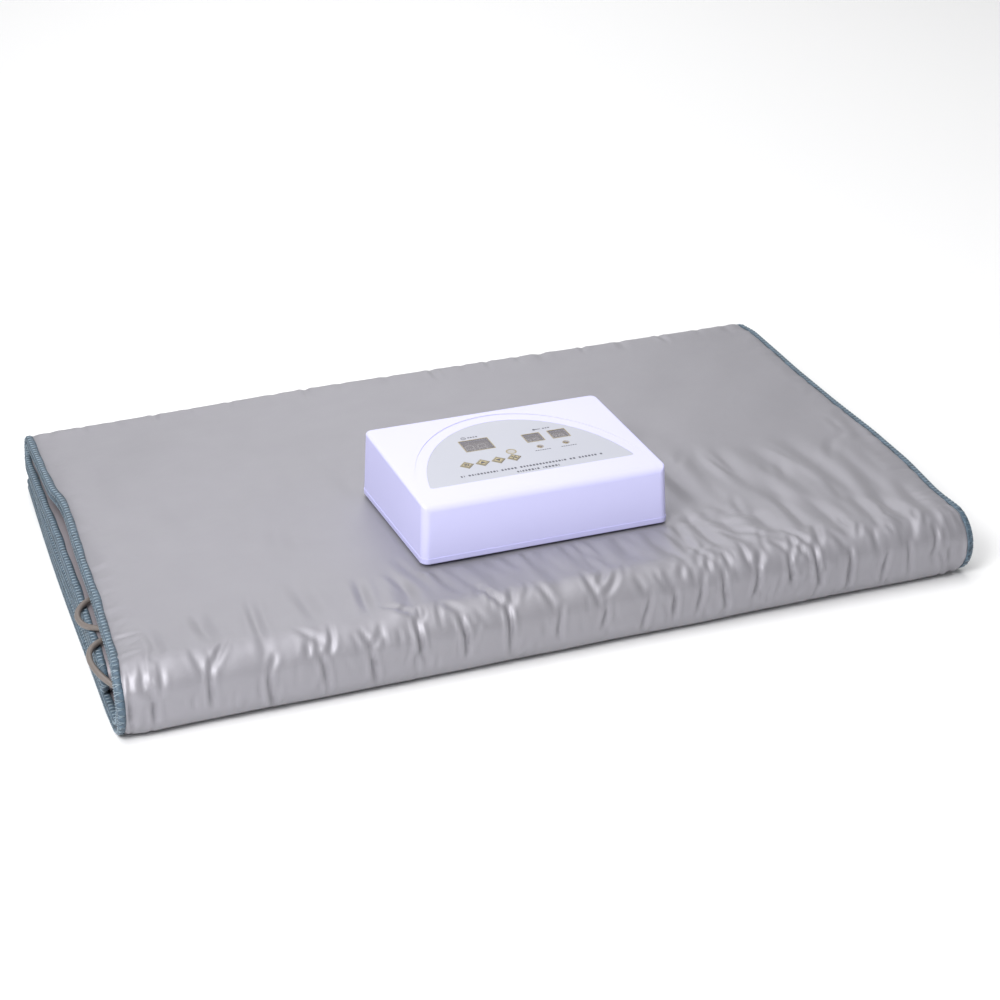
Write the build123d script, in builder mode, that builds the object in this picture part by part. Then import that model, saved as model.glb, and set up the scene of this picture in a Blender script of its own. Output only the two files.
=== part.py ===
from build123d import *
from math import atan2, cos, pi, radians, sin, tan
import os

# Two-zone infrared sauna blanket, folded in four with its control box resting on top.
# Origin on the floor under the middle of the folded blanket; X along the front roll,
# Y towards the back fold, Z up. Millimetres.

# ---------------------------------------------------------------- folded blanket
blanket_width = 894          # side edge to side edge
blanket_depth = 598          # front roll to back fold
fold_skew = radians(3.2)     # the side edges lean this much off the Y axis
pad_thickness = 7.6
pad_space = 0.4              # between the two pads of one layer
layer_space = 0.8            # between resting layers
cable_space = 7.8            # between the third layer and the top layer
cloth = 0.6                  # cover cloth
tape_width = 9               # edge binding, seen from above
tape_thickness = 0.7
tongue_thickness = 3.0       # flat sewn edge of a pad, inside the binding
sewn_gap = 0.2               # slack between layers sewn together
heater_thickness = 1.0
heater_margin = 40           # from the pad's edges to the heater mat
zip_thickness = 2.6
zip_width = 5.5
inner_turn_y = -215          # middle of the crease inside the front roll
lower_free_end = 285
upper_free_end = 279
heater_split_y = 255         # the two heater zones part here, near the back fold
thermostat_size = (14, 9, 1.4)
thermostat_x = (-120, 160)
thermostat_y = 90

layer_thickness = 2 * pad_thickness + pad_space
layer_1_z = layer_thickness / 2
layer_2_z = layer_1_z + layer_thickness + layer_space
layer_3_z = layer_2_z + layer_thickness + layer_space
layer_4_z = layer_3_z + layer_thickness + cable_space
blanket_height = layer_4_z + layer_thickness / 2
half_width = blanket_width / 2
pad_offset = (pad_thickness + pad_space) / 2
slot_thickness = tongue_thickness + 2 * sewn_gap
wadding_thickness = pad_thickness - 2 * cloth - 2 * sewn_gap
thermostat_offset = pad_offset + (heater_thickness + wadding_thickness) / 4 + sewn_gap / 2

# Each turn of the fold: middle, and radius of the surface between the two pads.
front_radius = (layer_4_z - layer_1_z) / 2
back_radius = (layer_4_z - layer_3_z) / 2
inner_radius = (layer_3_z - layer_2_z) / 2
front_turn = (-blanket_depth / 2 + front_radius + layer_thickness / 2, (layer_4_z + layer_1_z) / 2)
back_turn = (blanket_depth / 2 - back_radius - layer_thickness / 2, (layer_4_z + layer_3_z) / 2)
inner_turn = (inner_turn_y, (layer_3_z + layer_2_z) / 2)

# ---------------------------------------------------------------- heater leads
lead_diameter = 6
gap_z = layer_3_z + layer_thickness / 2 + cable_space / 2
hollow_y = -255              # middle of the hollow in the front roll
hollow_z = 36
hank_length = 110
hank_width = 42
fold_y = hollow_y - (hank_width - lead_diameter) / 2
hank_turns = (2, 3)          # whole turns; one more run leads out to the plug
hank_edge_round = 2
# From a hank to its plug: along X from the hank's end, and shares of the half width and half rise.
tail_steps = ((-21, -1, 1), (4, -1, 1), (20, -0.8, 0.8), (35, -0.2, 0.2), (49, 0, 0), (58, 0, 0))
lead_routes = (
    ((-405, -96, gap_z), (-428, -94, gap_z), (-449, -101, gap_z - 0.5), (-462, -118, gap_z - 3),
     (-462, -141, gap_z - 4), (-450, -160, gap_z - 0.8), (-428, -169, gap_z), (-400, -166, gap_z),
     (-356, -158, gap_z), (-296, -158, gap_z), (-240, -176, gap_z), (-202, -205, gap_z),
     (-180, -230, gap_z - 1), (-158, -254, gap_z - 10), (-132, fold_y, hollow_z - 6),
     (-106, fold_y, hollow_z - 6)),
    ((-405, -188, gap_z), (-429, -181, gap_z), (-452, -182, gap_z - 0.5), (-467, -196, gap_z - 2),
     (-470, -218, gap_z - 4), (-463, -241, gap_z - 9), (-447, -260, gap_z - 17),
     (-422, fold_y, hollow_z - 9), (-397, fold_y, hollow_z - 9)),
)
lead_arc_share = 0.45
gland_length = 26
gland_cone = 14
gland_diameter = 7.2
gland_nose_wall = 0.2
gland_flange = (20, 18, 1.2)
gland_flange_corner = 3
plug_diameter = 15
plug_tail_diameter = 9
plug_tail = 8
plug_body = 22
plug_nose_diameter = 13
plug_nose = 12
plug_nose_wall = 1.2
plug_socket_depth = 4
plug_chamfer = 1.2
ring_diameter = 18
ring_length = 10
ring_gap = 0.1
ring_lip = 2
ring_flutes = 16
ring_flute_radius = 0.9

# ---------------------------------------------------------------- control box
case_width = 265
case_depth = 184
case_front_height = 62
case_back_height = 70
case_wall = 2.6
case_draft = 2.3             # degrees
case_corner = 8
base_height = 6              # the base's rim, below the parting line
base_lip = 0.5               # the rim stands out this far
base_floor = 2.5
foot_height = 2
foot_diameter = 16
settle = 0.3
case_x = -2.5
case_y = -102
case_z = blanket_height + settle + foot_height

top_slope = atan2(case_back_height - case_front_height, case_depth)
panel_fall = 0.9             # how far the arched panel sinks below the top at the back
panel_front = -78
panel_slope = atan2(case_back_height - case_front_height - panel_fall, case_depth)
top_mid = (case_front_height + case_back_height) / 2
panel_mid = top_mid - panel_front * (tan(panel_slope) - tan(top_slope))

# Arched label, from the middle of the top: x to the right, y up the slope.
arch_centre_y = -88
label_arch = (112.5, 154)
panel_arch = (124, 168)
label_front = -56
label_recess = 0.4
label_thickness = 0.3
label_corner = 3
slack = 0.15                 # round a piece set in an opening

time_window_at = (-32, 20)
time_window_size = (30.5, 24)
zone_window_at = ((28.5, 16), (57, 16))
zone_window_size = (18.3, 17.6)
window_thickness = 1.4
window_rim = 1.2
led_at = ((27.5, -5.5), (56, -5.5))
led_diameter = 5
ir_at = (-4.7, -6.2)
ir_diameter = 10.5
key_names = ("power_key", "up_key", "down_key", "zone_key")
key_first_x = -58.2
key_pitch = 17.1
key_y = -19.8
key_side = 10.6
key_rise = 0.3
key_travel = 0.5
key_flange = 12.5
key_stem = 4

display_drop = 11.2          # panel surface down to the display board's top
board_thickness = 1.6
display_board_size = (156, 72)
display_board_at = (2.5, 2)
display_hole_inset = 4
main_board_size = (170, 108)
main_board_y = -22
main_board_z = 10.5
main_hole_inset = 5
post_diameter = 9
post_at = (118, 77)
screw_core = 2.9
screw_clear = 3.4
case_screw_head = 6.4

case_top_round = 2.5
case_post_bottom = 12        # top posts meet the base's bosses at this height
case_screw_length = 16
case_screw_grip = 14
case_screw_head_height = 2.2
screw_hole = 3.0
screw_recess = (0.6, 0.16)
foot_seat = 1
foot_hole = 7.4
foot_chamfer = 0.6
base_edge_round = 1.5
rim_wall = 1.6
rim_rise = 3
vent_pitch = 8
vent_length = 26
vent_width = 3
vent_count = 9
board_post_diameter = 7
board_screw_head = 5.6
board_screw_head_height = 1.8
board_screw_grip = 6
led_rise = 0.4
key_chamfer = 0.25
key_clearance = 0.15
key_flange_thickness = 1.2
switch_size = 6
switch_body_height = 3.5
switch_button = 3.5
switch_height = 5
display_height = 7.2
receiver_size = (7, 6, 4)
receiver_lens = 2.4
transformer_at = (48, -24)
core_size = (48, 16, 36)
core_window = (8, 22)
core_window_x = 12
coil_overhang = 18
coil_corner = 3
relay_at = ((-60, 10), (-32, 10))
relay_size = (19, 15.5, 15.8)
relay_corner = 0.6
capacitor_at = ((0, 12), (0, -4))
capacitor_size = (12.5, 20)
capacitor_round = 1
chip_at = (-45, -30)
chip_size = (36, 9, 4)
chip_chamfer = 0.8
ribbon_at = (-4, -54)
ribbon_width = 22
ribbon_thickness = 0.9
ribbon_rise = 12
ribbon_sway = 9
ribbon_bend = 5

# Connectors on the back wall; x is measured from the middle of the case.
back_z = 36                  # their middle line, above the bottom of the case
inlet_x = 85
rocker_x = 46
fuse_x = 14
socket_x = (-36, -76)
inlet_flange = (31, 25, 2.2)
inlet_body = (27.2, 19.8, 20)
inlet_cavity = (24.4, 16.6, 16.2)
inlet_key = 4
inlet_corner = 2.5
inlet_pin = (2, 4, 20)
inlet_tag = 5
inlet_pin_pitch = 7
inlet_pin_step = 2
rocker_flange = (15.6, 21.6, 1.8)
rocker_body = (12.8, 19, 22)
rocker_cavity_width = 9.8
rocker_radius = 8.2
rocker_gap = 0.25
rocker_pivot_depth = 3.6
rocker_width = 9.2
rocker_spread = 40           # degrees each side of its middle
rocker_tilt = 7
rocker_hub = 5
rocker_pin = 2
rocker_pin_gap = 0.06
rocker_pin_span = 12
fuse_diameter = 12
fuse_flange = (17, 1.8)
fuse_depth = 32
fuse_bore = 31
fuse_stem = 8.6
fuse_stem_length = 12
fuse_grip = 5
fuse_size = (5, 20)
fuse_cap_size = (13, 6)
fuse_cap_chamfer = 0.6
fuse_slot = (0.8, 1.4)
socket_diameter = 15
socket_flange = (20, 1.6)
socket_depth = 15
socket_nose = 8
socket_bore = 13.2
socket_bore_depth = 9
socket_pin = 1.6
socket_pins = 3
socket_pin_circle = 3.2
socket_pin_length = 4.5
socket_nut = (20.5, 3)

os.makedirs("parts", exist_ok=True)


def keep(piece, name):
    """Label a finished sub-part and write its STEP file."""
    piece.part.label = name
    export_step(piece.part, f"parts/{name}.step")


# ================================================================ blanket

def side_plane(x):
    """Upright plane along a side edge: its own x runs back along the leaning edge."""
    return Plane((x, 0, 0), x_dir=(sin(fold_skew), cos(fold_skew), 0),
                 z_dir=(cos(fold_skew), -sin(fold_skew), 0))


def turn_outline(turn, inner, outer, lower_end, upper_end):
    """Outline of cloth bent round a turn, with a straight leg below and one above."""
    y, z = turn
    side = -1 if lower_end >= y else 1
    Line((lower_end, z - outer), (y, z - outer))
    ThreePointArc((y, z - outer), (y + side * outer, z), (y, z + outer))
    Line((y, z + outer), (upper_end, z + outer))
    Line((upper_end, z + outer), (upper_end, z + inner))
    Line((upper_end, z + inner), (y, z + inner))
    ThreePointArc((y, z + inner), (y + side * inner, z), (y, z - inner))
    Line((y, z - inner), (lower_end, z - inner))
    Line((lower_end, z - inner), (lower_end, z - outer))


def inset_span(inset):
    """From one side edge to the other, less a margin on both."""
    return inset - half_width, half_width - inset


def turn_strip(turn, inner, outer, ends, span):
    """Solid strip of cloth round one turn, over a span of the blanket's width."""
    with BuildSketch(side_plane(span[0])) as section:
        with BuildLine():
            turn_outline(turn, inner, outer, *ends)
        make_face()
    with BuildPart() as strip:
        extrude(section.sketch, amount=span[1] - span[0], dir=(1, 0, 0))
    return strip.part


def folded_strip(low, high, span, end_inset=0):
    """Solid that follows the whole fold, between two distances from its middle surface."""
    with BuildPart() as strip:
        add(turn_strip(front_turn, front_radius + low, front_radius + high,
                       (lower_free_end - end_inset, 0), span))
        add(turn_strip(back_turn, back_radius + low, back_radius + high, (0, 0), span))
        add(turn_strip(inner_turn, inner_radius - high, inner_radius - low,
                       (upper_free_end - end_inset, 0), span))
    return strip.part


def layer_of(middle, thickness, inset):
    """Solid layer round a middle distance, held back from all four edges by the inset."""
    return folded_strip(middle - thickness / 2, middle + thickness / 2, inset_span(inset), inset)


def heater_strip(zone, middle, thickness, margin):
    """Heater mat of one zone, at its distance from the fold's middle surface."""
    low, high = middle - thickness / 2, middle + thickness / 2
    span = inset_span(margin)
    if zone == 1:
        return turn_strip(front_turn, front_radius + low, front_radius + high,
                          (lower_free_end - margin, heater_split_y), span)
    return turn_strip(inner_turn, inner_radius - high, inner_radius - low,
                      (upper_free_end - margin, heater_split_y), span)


def thermostat_blocks(length, width, height):
    """One thermostat in each zone, beside the heater mat on the outer cloth's side."""
    with BuildPart() as blocks:
        with Locations((thermostat_x[0], thermostat_y, layer_4_z + thermostat_offset),
                       (thermostat_x[1], thermostat_y, layer_3_z - thermostat_offset)):
            Box(length, width, height)
    return blocks.part


for name, middle in (("lower_pad", pad_offset), ("upper_pad", -pad_offset)):
    with BuildPart() as cover:
        add(layer_of(middle, pad_thickness, tape_width + sewn_gap))
        add(layer_of(middle, tongue_thickness, tape_thickness + sewn_gap))
        add(layer_of(middle, pad_thickness - 2 * cloth, tape_width + 2 * cloth), mode=Mode.SUBTRACT)
    keep(cover, f"{name}_cover")

    with BuildPart() as wadding:
        add(layer_of(middle, wadding_thickness, tape_width + 3 * cloth))
        for zone in (1, 2):
            add(heater_strip(zone, middle, heater_thickness + 2 * sewn_gap, heater_margin - sewn_gap),
                mode=Mode.SUBTRACT)
        if middle > 0:
            add(thermostat_blocks(*[size + 2 * sewn_gap for size in thermostat_size]), mode=Mode.SUBTRACT)
    keep(wadding, f"{name}_wadding")

    for zone in (1, 2):
        with BuildPart() as heater:
            add(heater_strip(zone, middle, heater_thickness, heater_margin))
        keep(heater, f"{name}_heater_zone_{zone}")

    with BuildPart() as binding:
        add(layer_of(middle, slot_thickness + 2 * tape_thickness, 0))
        add(layer_of(middle, slot_thickness, tape_thickness), mode=Mode.SUBTRACT)
        add(layer_of(middle, pad_thickness, tape_width), mode=Mode.SUBTRACT)
    keep(binding, f"{name}_binding")

with BuildPart() as zone_thermostats:
    add(thermostat_blocks(*thermostat_size))
keep(zone_thermostats, "zone_thermostats")

for name, left in (("left_zip", sewn_gap - half_width), ("right_zip", half_width - zip_width - sewn_gap)):
    with BuildPart() as zip_chain:
        add(folded_strip(-zip_thickness / 2, zip_thickness / 2, (left, left + zip_width)))
    keep(zip_chain, name)

# ================================================================ heater leads

def lead_path(route):
    """Route of a lead as straight runs joined by the largest tangent arcs they allow."""
    points = [Vector(*point) for point in route]
    radii = []
    for before, here, after in zip(points, points[1:], points[2:]):
        turn = radians((here - before).get_angle(after - here))
        shorter = min((here - before).length, (after - here).length)
        radii.append(lead_arc_share * shorter / tan(turn / 2))
    print("lead radii", [round(radius) for radius in radii])
    with BuildLine() as path:
        FilletPolyline(*points, radius=radii)
    return path


for number, (route, turns) in enumerate(zip(lead_routes, hank_turns), start=1):
    start, end = Vector(*route[0]), Vector(*route[-1])
    path = lead_path(route)
    with BuildPart() as lead_cable:
        with BuildSketch(Plane(start, z_dir=Vector(*route[1]) - start)):
            Circle(lead_diameter / 2)
        sweep(path=path.wires()[0])
    section = pi * (lead_diameter / 2) ** 2
    print(f"lead {number}: length {path.wires()[0].length:.0f}, volume over section and length",
          round(lead_cable.part.volume / section / path.wires()[0].length, 4))
    keep(lead_cable, f"lead_cable_{number}")

    # The gland's cone points along the lead's first run.
    with BuildPart() as lead_gland:
        gland_axis = Plane(start, z_dir=start - Vector(*route[1]))
        with BuildSketch(gland_axis) as nose:
            Circle(lead_diameter / 2 + gland_nose_wall)
        with BuildSketch(gland_axis.offset(gland_cone)) as root:
            Circle(gland_diameter / 2)
        loft([nose.sketch, root.sketch])
        with BuildSketch(gland_axis.offset(gland_cone)):
            Circle(gland_diameter / 2)
        extrude(amount=gland_length - gland_cone)
        with BuildSketch(Plane((start.X + gland_length - gland_flange[0] / 2, start.Y,
                                layer_3_z + layer_thickness / 2))):
            RectangleRounded(*gland_flange[:2], gland_flange_corner)
        extrude(amount=gland_flange[2])
    keep(lead_gland, f"lead_gland_{number}")

    # Hank: flat turns stacked one lead on another, seen as the block they fill. The lead comes in
    # along the front run at the bottom, and leaves along it at the top.
    rise = turns * lead_diameter
    tail = lead_path([(end.X + hank_length + x, hollow_y + share * (hollow_y - fold_y),
                       hollow_z + lift * rise / 2) for x, share, lift in tail_steps])
    with BuildPart() as lead_hank:
        with BuildSketch(Plane((end.X + hank_length / 2, hollow_y, end.Z - lead_diameter / 2))):
            SlotOverall(hank_length, hank_width)
        extrude(amount=rise + lead_diameter)
        fillet(lead_hank.faces().filter_by(Axis.Z).edges(), hank_edge_round)
        with BuildSketch(Plane(end, z_dir=(1, 0, 0))):
            Circle(lead_diameter / 2)
        extrude(amount=hank_width / 2)
        with BuildSketch(Plane(tail.wires()[0] @ 0, z_dir=(1, 0, 0))):
            Circle(lead_diameter / 2)
        sweep(path=tail.wires()[0])
    run = hank_length - hank_width
    turn_length = 2 * run + pi * (hank_width - lead_diameter)
    print(f"lead {number}: whole length",
          round(path.wires()[0].length + turns * turn_length + run + tail.wires()[0].length))
    keep(lead_hank, f"lead_hank_{number}")

    # Round plug: cable end, sleeve, insert and three pins; the coupling ring turns on the sleeve.
    plug_start = Plane(tail.wires()[0] @ 1, z_dir=(1, 0, 0))
    with BuildPart() as lead_plug:
        with BuildSketch(plug_start):
            Circle(plug_tail_diameter / 2)
        extrude(amount=plug_tail)
        with BuildSketch(plug_start.offset(plug_tail)):
            Circle(plug_diameter / 2)
        extrude(amount=plug_body)
        chamfer(lead_plug.edges().filter_by(GeomType.CIRCLE).sort_by(Axis.X)[-2:], plug_chamfer)
        with BuildSketch(plug_start.offset(plug_tail + plug_body)):
            Circle(plug_nose_diameter / 2)
        extrude(amount=plug_nose)
        with BuildSketch(plug_start.offset(plug_tail + plug_body + plug_nose)):
            Circle(plug_nose_diameter / 2 - plug_nose_wall)
        extrude(amount=plug_socket_depth - plug_nose, mode=Mode.SUBTRACT)
    keep(lead_plug, f"lead_plug_{number}")

    with BuildPart() as plug_ring:
        with BuildSketch(plug_start.offset(plug_tail + plug_body + ring_gap)):
            Circle(ring_diameter / 2)
            Circle(plug_nose_diameter / 2 + ring_gap, mode=Mode.SUBTRACT)
        extrude(amount=ring_length)
        with BuildSketch(plug_start.offset(plug_tail + plug_body + ring_gap + ring_lip)):
            Circle(socket_diameter / 2 + ring_gap)
        extrude(amount=ring_length, mode=Mode.SUBTRACT)
        with BuildSketch(plug_start.offset(plug_tail + plug_body + ring_gap)):
            with PolarLocations(ring_diameter / 2, ring_flutes):
                Circle(ring_flute_radius)
        extrude(amount=ring_length, mode=Mode.SUBTRACT)
    keep(plug_ring, f"lead_ring_{number}")

# ================================================================ control box

case_plane = Plane((case_x, case_y, case_z))
top_plane = Plane((case_x, case_y, case_z + top_mid), x_dir=(1, 0, 0),
                  z_dir=(0, -sin(top_slope), cos(top_slope)))
panel = Plane((case_x, case_y, case_z + panel_mid), x_dir=(1, 0, 0),
              z_dir=(0, -sin(panel_slope), cos(panel_slope)))
wall_y = case_y + case_depth / 2 - (back_z - base_height) * tan(radians(case_draft))
back_wall = Plane((case_x, wall_y, case_z + back_z), x_dir=(-1, 0, 0),
                  z_dir=(0, cos(radians(case_draft)), sin(radians(case_draft))))
post_places = [(x, y) for x in (-post_at[0], post_at[0]) for y in (-post_at[1], post_at[1])]
key_places = [(key_first_x + key_pitch * index, key_y) for index in range(len(key_names))]
panel_openings_depth = 2 * case_wall
upright_share = 0.7          # of an edge's direction along Z
inlet_pin_places = ((-inlet_x - inlet_pin_pitch, -inlet_pin_step), (-inlet_x, inlet_pin_step),
                    (-inlet_x + inlet_pin_pitch, -inlet_pin_step))


def hole_places(size, middle, inset):
    """Middles of the four corner holes of a board."""
    return [(middle[0] + x * (size[0] / 2 - inset), middle[1] + y * (size[1] / 2 - inset))
            for x in (-1, 1) for y in (-1, 1)]


display_holes = hole_places(display_board_size, display_board_at, display_hole_inset)
main_holes = hole_places(main_board_size, (0, main_board_y), main_hole_inset)


def case_block(inset, ceiling, corner, edge_round):
    """Drafted block of the case under a sloping ceiling, its upright and front edges rounded."""
    with BuildPart() as block:
        with BuildSketch(case_plane.offset(base_height)):
            Rectangle(case_width - 2 * inset, case_depth - 2 * inset)
        extrude(amount=case_back_height, taper=case_draft)
        split(bisect_by=ceiling, keep=Keep.BOTTOM)
        upright = block.edges().filter_by(lambda edge: abs(edge.tangent_at(0).Z) > upright_share)
        front = block.faces().sort_by(Axis.Z)[-1].edges().sort_by(Axis.Y)[0]
        fillet(upright + [front], corner)
        if edge_round:
            ceiling_face = block.faces().filter_by(GeomType.PLANE).sort_by(Axis.Z)[-1]
            fillet(ceiling_face.edges().sort_by(Axis.Y)[1:], edge_round)
    return block.part


def arch_sketch(plane, axes, front, grow=0):
    """Half-moon outline: part of an ellipse above a straight front edge."""
    with BuildSketch(plane) as arch:
        with Locations((0, arch_centre_y)):
            Ellipse(axes[0] + grow, axes[1] + grow)
        with Locations((0, front - grow + axes[1])):
            Rectangle(2 * axes[1], 2 * axes[1], mode=Mode.INTERSECT)
        fillet(arch.vertices(), label_corner + grow)
    return arch.sketch


with BuildPart() as top_housing:
    add(case_block(0, top_plane, case_corner, case_top_round))
    add(case_block(case_wall, panel.offset(-case_wall), case_corner - case_wall, 0), mode=Mode.SUBTRACT)
    extrude(arch_sketch(panel, panel_arch, panel_front), amount=case_wall, mode=Mode.SUBTRACT)
    extrude(arch_sketch(panel, label_arch, label_front, slack), amount=-label_recess, mode=Mode.SUBTRACT)
    # Corner posts for the case screws, and short posts for the display board.
    with BuildSketch(case_plane.offset(case_post_bottom)):
        with Locations(*post_places):
            Circle(post_diameter / 2)
    extrude(until=Until.NEXT)
    with BuildSketch(case_plane.offset(case_post_bottom)):
        with Locations(*post_places):
            Circle(screw_hole / 2)
    extrude(amount=case_screw_length, mode=Mode.SUBTRACT)
    with BuildSketch(panel.offset(-display_drop)):
        with Locations(*display_holes):
            Circle(board_post_diameter / 2)
    extrude(amount=display_drop - case_wall)
    with BuildSketch(panel.offset(-display_drop)):
        with Locations(*display_holes):
            Circle(screw_hole / 2)
    extrude(amount=board_screw_grip, mode=Mode.SUBTRACT)
    # Openings in the arched panel.
    with BuildSketch(panel):
        with Locations(time_window_at):
            Rectangle(*time_window_size)
        with Locations(*zone_window_at):
            Rectangle(*zone_window_size)
        with Locations(*key_places):
            Rectangle(key_side + 2 * slack, key_side + 2 * slack, rotation=45)
        with Locations(*led_at):
            Circle(led_diameter / 2 + slack)
        with Locations(ir_at):
            Circle(ir_diameter / 2 - window_rim)
    extrude(amount=-panel_openings_depth, mode=Mode.SUBTRACT)
    with BuildSketch(panel.offset(-label_recess)):
        with Locations(time_window_at):
            Rectangle(*[size + 2 * (window_rim + slack) for size in time_window_size])
        with Locations(*zone_window_at):
            Rectangle(*[size + 2 * (window_rim + slack) for size in zone_window_size])
        with Locations(ir_at):
            Circle(ir_diameter / 2 + slack)
    extrude(amount=-window_thickness + label_thickness, mode=Mode.SUBTRACT)
    # Openings in the back wall.
    with BuildSketch(back_wall.offset(-2 * case_wall)):
        with Locations((-inlet_x, 0)):
            Rectangle(inlet_body[0] + 2 * slack, inlet_body[1] + 2 * slack)
        with Locations((-rocker_x, 0)):
            Rectangle(rocker_body[0] + 2 * slack, rocker_body[1] + 2 * slack)
        with Locations((-fuse_x, 0)):
            Circle(fuse_diameter / 2 + slack)
        with Locations(*[(-x, 0) for x in socket_x]):
            Circle(socket_diameter / 2 + slack)
    extrude(amount=3 * case_wall, mode=Mode.SUBTRACT)
keep(top_housing, "top_housing")

with BuildPart() as base_cover:
    with BuildSketch(case_plane):
        RectangleRounded(case_width + 2 * base_lip, case_depth + 2 * base_lip, case_corner + base_lip)
    extrude(amount=base_height)
    fillet(base_cover.faces().sort_by(Axis.Z)[0].edges(), base_edge_round)
    with BuildSketch(case_plane.offset(base_floor)):
        RectangleRounded(case_width - 2 * case_wall, case_depth - 2 * case_wall, case_corner - case_wall)
    extrude(amount=base_height, mode=Mode.SUBTRACT)
    # Rim that locates the top housing from inside.
    rim_outside = (case_width - 2 * (case_wall + sewn_gap), case_depth - 2 * (case_wall + sewn_gap))
    with BuildSketch(case_plane.offset(base_floor)):
        RectangleRounded(*rim_outside, case_corner - case_wall)
        RectangleRounded(*[size - 2 * rim_wall for size in rim_outside], case_corner - case_wall - rim_wall,
                         mode=Mode.SUBTRACT)
    extrude(amount=base_height - base_floor + rim_rise, taper=case_draft)
    with BuildSketch(case_plane.offset(base_floor)):
        with Locations(*post_places):
            Circle(post_diameter / 2)
    extrude(amount=case_post_bottom - base_floor)
    with BuildSketch(case_plane.offset(base_floor)):
        with Locations(*main_holes):
            Circle(board_post_diameter / 2)
    extrude(amount=main_board_z - base_floor)
    with BuildSketch(case_plane):
        with Locations(*post_places):
            Circle(screw_clear / 2)
    extrude(amount=case_post_bottom, mode=Mode.SUBTRACT)
    with BuildSketch(case_plane):
        with Locations(*post_places):
            Circle(foot_diameter / 2 + slack)
    extrude(amount=foot_seat, mode=Mode.SUBTRACT)
    with BuildSketch(case_plane.offset(main_board_z)):
        with Locations(*main_holes):
            Circle(screw_hole / 2)
    extrude(amount=-board_screw_grip, mode=Mode.SUBTRACT)
    # Vents under the transformer and the relays.
    with BuildSketch(case_plane):
        with GridLocations(vent_pitch, vent_length + vent_pitch, vent_count, 2):
            SlotOverall(vent_length, vent_width, rotation=90)
    extrude(amount=base_floor, mode=Mode.SUBTRACT)
keep(base_cover, "base_cover")

with BuildPart() as rubber_feet:
    with BuildSketch(case_plane.offset(-foot_height)):
        with Locations(*post_places):
            Circle(foot_diameter / 2)
            Circle(foot_hole / 2, mode=Mode.SUBTRACT)
    extrude(amount=foot_height + foot_seat)
    chamfer(rubber_feet.edges().filter_by(GeomType.CIRCLE).group_by(Axis.Z)[0]
            .filter_by(lambda edge: edge.radius > foot_hole), foot_chamfer)
keep(rubber_feet, "rubber_feet")


def screw_group(plane, places, head, head_height, length):
    """Pan-head screws with a cross recess; the head stands below the plane."""
    with BuildPart() as screws:
        with BuildSketch(plane.offset(-head_height)):
            with Locations(*places):
                Circle(head / 2)
        extrude(amount=head_height)
        with BuildSketch(plane):
            with Locations(*places):
                Circle(screw_core / 2)
        extrude(amount=length)
        with BuildSketch(plane.offset(-head_height)):
            with Locations(*places):
                Rectangle(head * screw_recess[0], head * screw_recess[1])
                Rectangle(head * screw_recess[1], head * screw_recess[0])
        extrude(amount=head_height / 2, mode=Mode.SUBTRACT)
    return screws


case_screws = screw_group(case_plane.offset(foot_seat), post_places, case_screw_head,
                          case_screw_head_height, case_post_bottom - foot_seat + case_screw_grip)
keep(case_screws, "case_screws")
display_screws = screw_group(panel.offset(-display_drop - board_thickness), display_holes, board_screw_head,
                             board_screw_head_height, board_thickness + board_screw_grip - slack)
keep(display_screws, "display_board_screws")
main_screw_plane = Plane((case_x, case_y, case_z + main_board_z + board_thickness),
                         x_dir=(1, 0, 0), z_dir=(0, 0, -1))
main_screws = screw_group(main_screw_plane, [(x, -y) for x, y in main_holes], board_screw_head,
                          board_screw_head_height, board_thickness + board_screw_grip - slack)
keep(main_screws, "main_board_screws")

# ---------------------------------------------------------------- panel pieces

with BuildPart() as panel_label:
    extrude(arch_sketch(panel.offset(-label_recess), label_arch, label_front), amount=label_thickness)
    with BuildSketch(panel.offset(-label_recess)):
        with Locations(time_window_at):
            Rectangle(*[size + 2 * slack for size in time_window_size])
        with Locations(*zone_window_at):
            Rectangle(*[size + 2 * slack for size in zone_window_size])
        with Locations(*key_places):
            Rectangle(key_side + 2 * slack, key_side + 2 * slack, rotation=45)
        with Locations(*led_at):
            Circle(led_diameter / 2 + slack)
        with Locations(ir_at):
            Circle(ir_diameter / 2 - window_rim + slack)
    extrude(amount=label_thickness, mode=Mode.SUBTRACT)
keep(panel_label, "panel_label")

window_top = label_thickness - label_recess
for name, places, size in (("time_window", (time_window_at,), time_window_size),
                           ("zone_windows", zone_window_at, zone_window_size)):
    with BuildPart() as window:
        with BuildSketch(panel.offset(window_top)):
            with Locations(*places):
                Rectangle(*size)
        extrude(amount=-window_thickness)
        with BuildSketch(panel.offset(-label_recess)):
            with Locations(*places):
                Rectangle(*[side + 2 * window_rim for side in size])
        extrude(amount=-(window_thickness - label_thickness))
    keep(window, name)

with BuildPart() as receiver_window:
    with BuildSketch(panel.offset(window_top)):
        with Locations(ir_at):
            Circle(ir_diameter / 2 - window_rim)
    extrude(amount=-window_thickness)
    with BuildSketch(panel.offset(-label_recess)):
        with Locations(ir_at):
            Circle(ir_diameter / 2)
    extrude(amount=-(window_thickness - label_thickness))
keep(receiver_window, "receiver_window")

with BuildPart() as zone_leds:
    with BuildSketch(panel.offset(-display_drop)):
        with Locations(*led_at):
            Circle(led_diameter / 2)
    extrude(amount=display_drop + led_rise)
    fillet(zone_leds.edges().filter_by(GeomType.CIRCLE).group_by(Axis.Z)[-1], led_diameter / 2 - slack)
keep(zone_leds, "zone_leds")

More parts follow.
